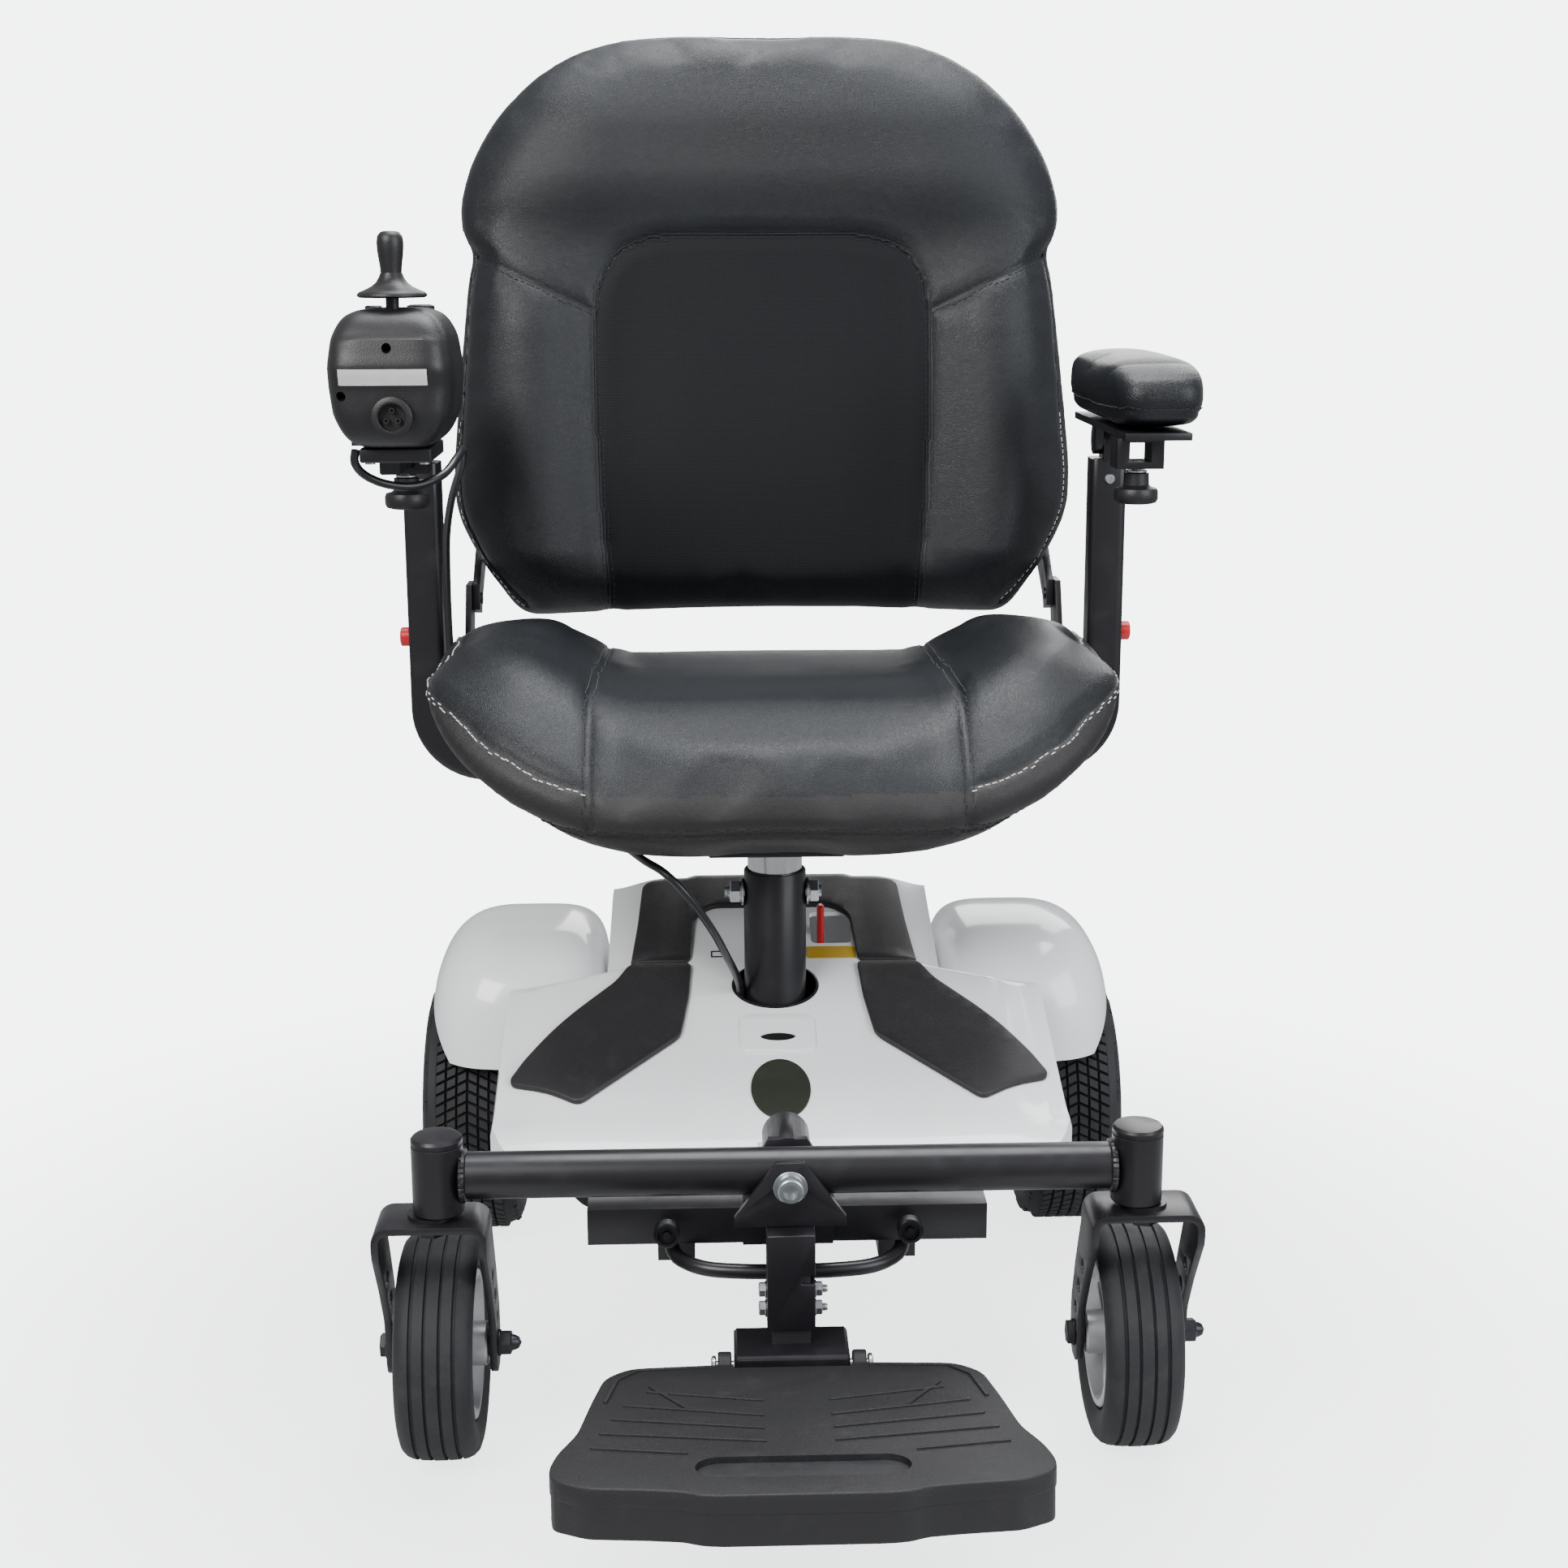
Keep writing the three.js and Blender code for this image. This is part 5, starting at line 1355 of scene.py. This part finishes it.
# ---- arms ------------------------------------------------------------------------------------------
def arms():
    """Arm tubes with their screws, lock buttons and the knobs under the pads."""
    for name, sign in SIDES:
        bm = bmesh.new()
        y = (middle(f"arm_button_{name}").y - AXLE_Y) / MM
        path = [(276.5, 630), (276.5, 600), (276.5, 560), (276.5, 500), (276.5, 455)]
        path += [(231 + 45.5 * math.cos(k * math.pi / 24), 430 - 45.5 * math.sin(k * math.pi / 24))
                 for k in range(13)]
        path += [(200, 384.5), (130, 384.5), (62, 384.5)]
        section = [(u * MM, v * MM) for u, v in rounded([(-14.4, -15.9), (14.4, -15.9), (14.4, 15.9),
                                                         (-14.4, 15.9)], 6, 5)]
        sweep(bm, [at(sign * u, y, v) for u, v in path], section)
        pocket = bmesh.new()
        turned(pocket, [(0, 283.8), (8.4, 283.8), (8.4, 300), (0, 300)], at(0, y, 488), (sign, 0, 0), 32)
        carve(bm, pocket)
        soften(bm, sharp_edges(bm, angle=60), 1.0, 2)
        prism(bm, rounded([(416, 626), (440, 626), (440, 645), (434, 657), (422, 657), (416, 645)], 4),
              271 * sign, 281.8 * sign, from_side, 0.5)
        made(f"arm_tube_{name}", bm, f"arm_{name}", "black_steel", "powder coat", [f"arm_post_{name}"], 34)
        low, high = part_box(f"arm_button_{name}")
        button = bmesh.new()
        deep = (high.x - low.x) / MM
        base = Vector((low.x if sign > 0 else high.x, (low.y + high.y) / 2, (low.z + high.z) / 2))
        turned(button, [(0, 0), (7.8, 0), (7.8, deep - 1.6), (7.2, deep - 0.6), (5.4, deep),
                        (4.8, deep - 0.9), (3.4, deep - 0.9), (2.8, deep), (0, deep)],
               base, (sign, 0, 0), 36)
        made(f"arm_lock_push_{name}", button, f"arm_lock_{name}", "red_plastic", "red plastic",
             [f"arm_button_{name}"], 30)
        screw = bmesh.new()
        spot = at(sign * 276.5, y - 15.9, 614)
        turned(screw, [(0, -0.5), (4.2, -0.5), (4.2, 1.2), (3.4, 2.2), (1.8, 2.2), (1.8, 0.8), (0, 0.8)],
               spot, (0, -1, 0), 28)
        pin = at(sign * 290.0, 428, 645)
        turned(screw, [(0, -2), (6, -2), (6, 1.4), (4.6, 2.8), (0, 2.8)], pin, (sign, 0, 0), 28)
        made(f"arm_screws_{name}", screw, f"arm_{name}", "zinc", "zinc plate", (), 34)
        knob = bmesh.new()
        stem = at(sign * 264, 235, 0)
        turned(knob, [(0, 614), (11.5, 614), (14.8, 615), (16, 617.4), (16, 622.6), (15, 625), (11, 626.2),
                      (9.4, 627.6), (9, 636), (4.2, 636.4), (4.2, 638), (0, 638)], stem, (0, 0, 1), 48)
        made(f"pad_screw_knob_{name}", knob, f"arm_screw_{name}", "black_plastic", "moulded plastic",
             [f"pad_knob_{name}"], 30)
        stud = bmesh.new()
        washer(stud, stem, (0, 0, 1), 7.6, 636.6, 638.2)
        thread_end(stud, stem, (0, 0, 1), 3.9, 638, 644.8, 1.1)
        made(f"pad_screw_stud_{name}", stud, f"arm_screw_{name}", "zinc", "zinc plate", (), 34)


# ---- controller ------------------------------------------------------------------------------------
STICK = middle("joystick")


def pod():
    """The joystick pod: rounded housing, round socket, blank label, gaiter, stick, key and knob."""
    low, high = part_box("controller_pod")
    mid, half = (low + high) / 2, (high - low) / 2
    bm = box_grid(23)

    def form(places):
        norm = (abs(places) ** 5.6).sum(1) ** (1 / 5.6)
        out = places / np.maximum(norm, 1e-9)[:, None]
        x, y, z = out.T
        wide = np.interp(z, [-1, -0.85, -0.5, -0.1, 0.2, 0.6, 0.9, 1],
                         [0.76, 0.82, 0.95, 1.0, 1.0, 0.94, 0.83, 0.74])
        ahead = np.interp(z, [-1, -0.5, -0.1, 0.25, 0.6, 1.0], [0.90, 0.95, 0.95, 1.0, 0.93, 0.80])
        brow = 0.035 * np.exp(-((z - 0.12) / 0.12) ** 2) * (y < 0)
        y = np.where(y < 0, y * (ahead + brow), y * 0.97)
        z = z - 0.05 * smooth_step(-y, 0.5, 1) * (z > 0.6)
        return np.stack([x * wide * half.x, y * half.y, z * half.z], 1) + np.array(mid)

    reshape(bm, form)
    x0 = STICK.x / MM
    for centre, axis, radius, deep in (
            (at(x0, 135, 765), (0, 0, 1), 15.8, 50), (at(x0 + 2.5, 80, 689), (0, 1, 0), 11.2, 30)):
        tool = bmesh.new()
        turned(tool, [(0, -deep * 0.6), (radius, -deep * 0.6), (radius, deep * 0.75), (0, deep * 0.75)],
               centre, axis, 48)
        carve(bm, tool)
    for dx, z in ((0, 734.5), (-31, 703)):
        tool = bmesh.new()
        turned(tool, [(0, -14), (3.2, -14), (3.2, 9), (0, 9)], at(x0 + dx, 100, z), (0, 1, 0.2), 20)
        carve(bm, tool)
    for dx, radius in ((-18, 6.3), (14, 10.3)):
        tool = bmesh.new()
        turned(tool, [(0, 740), (radius, 740), (radius, 775), (0, 775)], at(x0 + dx, 174, 0), (0, 0, 1), 40)
        carve(bm, tool)
    made("pod_housing", bm, "pod", "black_plastic", "moulded plastic", ["controller_pod"], 30)
    tree = BVHTree.FromObject(bpy.data.objects["pod_housing"], bpy.context.evaluated_depsgraph_get())
    socket = bmesh.new()
    mouth = at(x0 + 2.5, 95, 689)
    turned(socket, [(0, 0), (9, 0), (9, 6), (9.6, 6.6), (11.0, 6.6), (13.4, 5.6), (13.6, 3.0), (11.2, -6),
                    (0, -6)], mouth, (0, -1, 0), 48)
    for k in range(3):
        turn = math.tau * k / 3 + math.pi / 2
        spot = mouth + Vector((math.cos(turn), 0, math.sin(turn))) * 0.0045
        turned(socket, [(0, 0), (1.9, 0), (1.9, 4.2), (1.1, 4.2), (1.1, 2), (0, 2)], spot, (0, -1, 0), 16)
    made("pod_socket", socket, "pod", "black_plastic", "moulded plastic", (), 34)
    label = bmesh.new()
    foot, top = 709.5, 720
    grid = [[facing_ray(tree, x0 - 32 + 58 * i / 24, foot + (top - foot) * j / 4) for i in range(25)]
            for j in range(5)]
    rows = [[label.verts.new(p - Vector((0, 0.0003, 0))) for p in row] for row in grid]
    for near, far in zip(rows, rows[1:]):
        bmesh.ops.bridge_loops(label, edges=[label.edges.get(e) or label.edges.new(e) for row in (near, far)
                                             for e in zip(row, row[1:])])
    worked(label, ("SOLIDIFY", {"thickness": 0.0005, "offset": 0.0}))
    made("pod_blank_label", label, "pod", "black_plastic", "blank label")
    gaiter = bmesh.new()
    stick_at = Vector((STICK.x, at(0, 135, 0).y, 0))
    turned(gaiter, [(0, 741), (4.4, 741), (4.4, 764.6), (21.5, 764.8), (23.2, 765.8), (23.2, 767),
                    (22, 768.4), (17.6, 770.2), (13.6, 772.2), (10.4, 774.8), (8.4, 778), (7.2, 781),
                    (0, 781)], stick_at, (0, 0, 1), 56)
    turned(gaiter, [(0, 780), (6.9, 780), (7.4, 786), (8.3, 792), (8.8, 797), (8.9, 801), (8.3, 804.6),
                    (6.4, 807.2), (4.2, 807.9), (0, 808)], stick_at, (0, 0, 1), 56)
    made("joystick_gaiter_and_knob", gaiter, "stick", "black_plastic", "moulded plastic", ["joystick"], 50)
    turn_ring = bmesh.new()
    turned(turn_ring, [(9.2, 745.4), (12.6, 745.4), (13, 746), (13, 750.4), (12.6, 751), (9.2, 751),
                       (9.2, 745.4)], stick_at, (0, 0, 1), 40)
    made("stick_gimbal_ring", turn_ring, "stick_ring", "black_plastic", "moulded plastic",
         ["joystick_gimbal"])
    key, dial = bmesh.new(), bmesh.new()
    turned(key, [(0, 742), (5.9, 742), (5.9, 758), (5.2, 758.8), (2.6, 758.2), (0, 758)], at(x0 - 18, 174, 0),
           (0, 0, 1), 36)
    made("power_key_cap", key, "power_key", "black_plastic", "moulded plastic", ["power_button"])
    spin = [(0, 742), (9.9, 742), (9.9, 755), (9.2, 758.6), (7, 759.4), (0, 759.4)]
    turned(dial, spin, at(x0 + 14, 174, 0), (0, 0, 1), 60)
    for vert in dial.verts:
        spoke = vert.co - at(x0 + 14, 174, 0)
        if spoke.xy.length > 0.0095 and round(math.atan2(spoke.y, spoke.x) * 60 / math.tau) % 3 == 0:
            vert.co.xy -= spoke.xy * 0.06
    made("speed_knob_cap", dial, "speed_knob", "black_plastic", "moulded plastic", ["speed_dial"], 24)
    screws = bmesh.new()
    for dx in (-26, 26):
        turned(screws, [(0, 655.4), (3.6, 655.4), (3.6, 657.4), (0, 657.4)], at(x0 + dx * 0.7, 128, 0),
               (0, 0, 1), 24)
    made("pod_mount_screws", screws, "pod", "zinc", "zinc plate", (), 34)


# ---- cables ----------------------------------------------------------------------------------------
POD_LEAD = [(-287, 150, 663), (-288, 152, 654), (-282, 158, 645), (-268, 166, 638), (-250, 176, 636),
            (-233, 192, 642), (-225, 215, 652), (-224, 245, 655), (-230, 290, 640), (-243, 340, 612),
            (-252, 375, 580), (-256, 400, 545), (-257, 408, 510), (-256, 408, 475), (-252, 406, 440),
            (-240, 403, 405), (-222, 398, 382), (-202, 388, 366), (-180, 370, 362), (-150, 330, 361)]
SEAT_LEAD = [(-149, 328, 361), (-125, 265, 362), (-98, 190, 362), (-84, 172, 358), (-70, 167, 346),
             (-56, 171, 326), (-45, 179, 306), (-37, 195, 285), (-30.5, 217, 265), (-27.2, 233, 249),
             (-26.6, 237, 234), (-26.6, 238, 205)]


def lead(name, points, bends, stands_for, sizes):
    """A cable in lengths, cut where it crosses a joint: bends holds (first, last, body, body)."""
    whole = even_route([at(*p) for p in points], 0.003)
    spots = [min(range(len(whole)), key=lambda k, p=p: (whole[k] - at(*p)).length) for p in points]
    for number, (first, last, near, far) in enumerate(bends, 1):
        route = whole[spots[first]:spots[last] + 1]
        bm = bmesh.new()
        sweep(bm, route, circle(sizes.cable / 2, 16))
        obj = made(f"{name}_{number}", bm, None, "rubber", "cable jacket", stands_for if number == 1 else ())
        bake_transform(obj)


def cables(sizes):
    """The controller's lead and the seat lead."""
    lead("controller_lead", POD_LEAD, ((0, 5, "pod", "arm_rest_left"), (5, 12, "arm_rest_left", "arm_left"),
                                       (12, 19, "arm_left", "seat")), ["joystick_cable"], sizes)
    lead("seat_power_lead", SEAT_LEAD, ((0, 3, "seat", "lift_post"), (3, 11, "lift_post", "chassis")),
         ["seat_lead"], sizes)


# ---- stage -----------------------------------------------------------------------------------------
CAMERA_AT = Vector((-0.0502, -1.6088, 0.7964))
CAMERA_YAW, CAMERA_PITCH, CAMERA_ROLL, CAMERA_LENS = 0.0340, 0.2279, -0.0034, 53.11


def stage():
    """A pale floor, soft studio lights and the camera."""
    scene = bpy.context.scene
    data = bpy.data.cameras.new("camera")
    data.lens, data.sensor_width, data.clip_start = CAMERA_LENS, 36.0, 0.05
    camera = bpy.data.objects.new("camera", data)
    scene.collection.objects.link(camera)
    turn = (Quaternion((0, 0, 1), -CAMERA_YAW) @ Quaternion((1, 0, 0), math.pi / 2 - CAMERA_PITCH)
            @ Quaternion((0, 0, 1), CAMERA_ROLL))
    camera.matrix_world = Matrix.Translation(CAMERA_AT) @ turn.to_matrix().to_4x4()
    scene.camera = camera
    bm = bmesh.new()
    bmesh.ops.create_grid(bm, x_segments=2, y_segments=2, size=9.0)
    mesh = bpy.data.meshes.new("floor")
    bm.to_mesh(mesh)
    bm.free()
    floor = bpy.data.objects.new("floor", mesh)
    scene.collection.objects.link(floor)
    f = Finish("pale_floor_painted_shadow_pool", (0.92, 0.925, 0.93), Specular_IOR_Level=0.2)
    # The floor is opaque near the chair and fades to nothing by 1 m. Against the brighter backdrop it shows
    # as a grey pool round the chair's base: a painted shadow pool, besides the real shadows it catches.
    away = f.node("ShaderNodeVectorMath", {"operation": "LENGTH"}, {0: f.place}, "Value")
    f.set(Base_Color=f.tone(f.noise(2.0), 0.99, 1.01), Roughness=0.8 + 0.05 * f.noise(40.0),
          Alpha=0.55 * (1 - away.between(0.35, 1.0)))
    mesh.materials.append(f.material)
    world = bpy.data.worlds.new("studio")
    world.use_nodes = True
    tree = world.node_tree
    sky, seen = tree.nodes["Background"], tree.nodes.new("ShaderNodeBackground")
    for background, strength in ((sky, 0.5), (seen, 6.0)):
        background.inputs["Color"].default_value = (0.95, 0.975, 1.0, 1.0)
        background.inputs["Strength"].default_value = strength
    mix, ray = tree.nodes.new("ShaderNodeMixShader"), tree.nodes.new("ShaderNodeLightPath")
    tree.links.new(ray.outputs["Is Camera Ray"], mix.inputs[0])
    tree.links.new(sky.outputs[0], mix.inputs[1])
    tree.links.new(seen.outputs[0], mix.inputs[2])
    tree.links.new(mix.outputs[0], tree.nodes["World Output"].inputs["Surface"])
    scene.world = world
    for name, place, aim, size, power, hue in (
            ("key_light", (-1.5, -2.0, 2.3), (0, 0.0, 0.55), 1.5, 105, (1.0, 0.99, 0.97)),
            ("fill_light", (1.9, -1.6, 1.5), (0, 0, 0.5), 1.8, 58, (0.93, 0.96, 1.0)),
            ("top_light", (0.2, 0.5, 2.8), (0, 0.1, 0.5), 1.6, 95, (0.96, 0.98, 1.0)),
            ("rear_light", (0.6, 2.4, 1.6), (0, 0, 0.5), 1.6, 40, (1.0, 1.0, 1.0))):
        lamp = bpy.data.lights.new(name, "AREA")
        lamp.size, lamp.energy, lamp.color = size, power, hue
        obj = bpy.data.objects.new(name, lamp)
        scene.collection.objects.link(obj)
        turn = (Vector(place) - Vector(aim)).to_track_quat("Z", "Y").to_matrix().to_4x4()
        obj.matrix_world = Matrix.Translation(Vector(place)) @ turn


# ---- add-on ----------------------------------------------------------------------------------------
class WHEELCHAIR_OT_stage(bpy.types.Operator):
    """Adds the camera, lights and floor"""

    bl_idname = "wheelchair.stage"
    bl_label = "Stage"

    def execute(self, context):
        stage()
        return {"FINISHED"}


class WHEELCHAIR_OT_cables(bpy.types.Operator):
    """Builds the controller's lead and the seat lead"""

    bl_idname = "wheelchair.cables"
    bl_label = "Cables"

    def execute(self, context):
        cables(context.scene.chair_sizes)
        return {"FINISHED"}


class WHEELCHAIR_OT_seat(bpy.types.Operator):
    """Builds the seat cushion with its seams and stitches"""

    bl_idname = "wheelchair.seat"
    bl_label = "Seat cushion"

    def execute(self, context):
        seat_cushion(context.scene.chair_sizes)
        return {"FINISHED"}


class WHEELCHAIR_OT_back(bpy.types.Operator):
    """Builds the back cushion with its panel, seams and welts"""

    bl_idname = "wheelchair.back"
    bl_label = "Back cushion"

    def execute(self, context):
        back_cushion(context.scene.chair_sizes)
        return {"FINISHED"}


class WHEELCHAIR_OT_arm_pads(bpy.types.Operator):
    """Builds the two arm pads"""

    bl_idname = "wheelchair.arm_pads"
    bl_label = "Arm pads"

    def execute(self, context):
        arm_pads(context.scene.chair_sizes)
        return {"FINISHED"}


class WHEELCHAIR_OT_covers(bpy.types.Operator):
    """Builds the centre cover, its trims and the fenders"""

    bl_idname = "wheelchair.covers"
    bl_label = "Covers"

    def execute(self, context):
        centre_cover()
        cover_trims()
        fenders()
        return {"FINISHED"}


class WHEELCHAIR_OT_drive_wheels(bpy.types.Operator):
    """Builds the drive wheels"""

    bl_idname = "wheelchair.drive_wheels"
    bl_label = "Drive wheels"

    def execute(self, context):
        drive_wheels(context.scene.chair_sizes)
        return {"FINISHED"}


class WHEELCHAIR_OT_casters(bpy.types.Operator):
    """Builds the front casters and their forks"""

    bl_idname = "wheelchair.casters"
    bl_label = "Casters"

    def execute(self, context):
        caster_wheels()
        return {"FINISHED"}


class WHEELCHAIR_OT_steelwork(bpy.types.Operator):
    """Builds the front axle, the column and the other steel pieces"""

    bl_idname = "wheelchair.steelwork"
    bl_label = "Steelwork"

    def execute(self, context):
        front_axle()
        column()
        steelwork()
        return {"FINISHED"}


class WHEELCHAIR_OT_drive_gear(bpy.types.Operator):
    """Builds the battery box, motors, levers and anti-tip wheels"""

    bl_idname = "wheelchair.drive_gear"
    bl_label = "Drive gear"

    def execute(self, context):
        drive_gear()
        return {"FINISHED"}


class WHEELCHAIR_OT_footplate(bpy.types.Operator):
    """Builds the footplate"""

    bl_idname = "wheelchair.footplate"
    bl_label = "Footplate"

    def execute(self, context):
        footplate()
        return {"FINISHED"}


class WHEELCHAIR_OT_arms(bpy.types.Operator):
    """Builds the arm tubes, lock buttons and knobs"""

    bl_idname = "wheelchair.arms"
    bl_label = "Arms"

    def execute(self, context):
        arms()
        return {"FINISHED"}


class WHEELCHAIR_OT_controller(bpy.types.Operator):
    """Builds the joystick pod"""

    bl_idname = "wheelchair.controller"
    bl_label = "Controller"

    def execute(self, context):
        pod()
        return {"FINISHED"}


OPERATORS = (WHEELCHAIR_OT_stage, WHEELCHAIR_OT_cables, WHEELCHAIR_OT_seat, WHEELCHAIR_OT_back,
             WHEELCHAIR_OT_arm_pads, WHEELCHAIR_OT_covers, WHEELCHAIR_OT_drive_wheels,
             WHEELCHAIR_OT_casters, WHEELCHAIR_OT_steelwork, WHEELCHAIR_OT_drive_gear,
             WHEELCHAIR_OT_footplate, WHEELCHAIR_OT_arms, WHEELCHAIR_OT_controller)


class WHEELCHAIR_PT_pieces(bpy.types.Panel):
    """Lists the chair's pieces"""

    bl_idname = "WHEELCHAIR_PT_pieces"
    bl_label = "Power wheelchair"
    bl_space_type = "VIEW_3D"
    bl_region_type = "UI"
    bl_category = "Wheelchair"

    def draw(self, context):
        for operator in OPERATORS:
            self.layout.operator(operator.bl_idname)
        for group in (context.scene.chair_sizes, context.scene.chair_colours):
            for name in group.bl_rna.properties.keys():
                if name not in ("rna_type", "name"):
                    self.layout.prop(group, name)


CLASSES = (ChairSizes, ChairColours, *OPERATORS, WHEELCHAIR_PT_pieces)


def register():
    for each in CLASSES:
        bpy.utils.register_class(each)
    bpy.types.Scene.chair_sizes = bpy.props.PointerProperty(type=ChairSizes)
    bpy.types.Scene.chair_colours = bpy.props.PointerProperty(type=ChairColours)


def unregister():
    del bpy.types.Scene.chair_colours
    del bpy.types.Scene.chair_sizes
    for each in reversed(CLASSES):
        bpy.utils.unregister_class(each)


def main():
    """Builds every piece."""
    register()
    for operator in OPERATORS:
        getattr(bpy.ops.wheelchair, operator.bl_idname.split(".")[1])()
    bpy.context.view_layer.update()


if __name__ == "__main__":
    main()
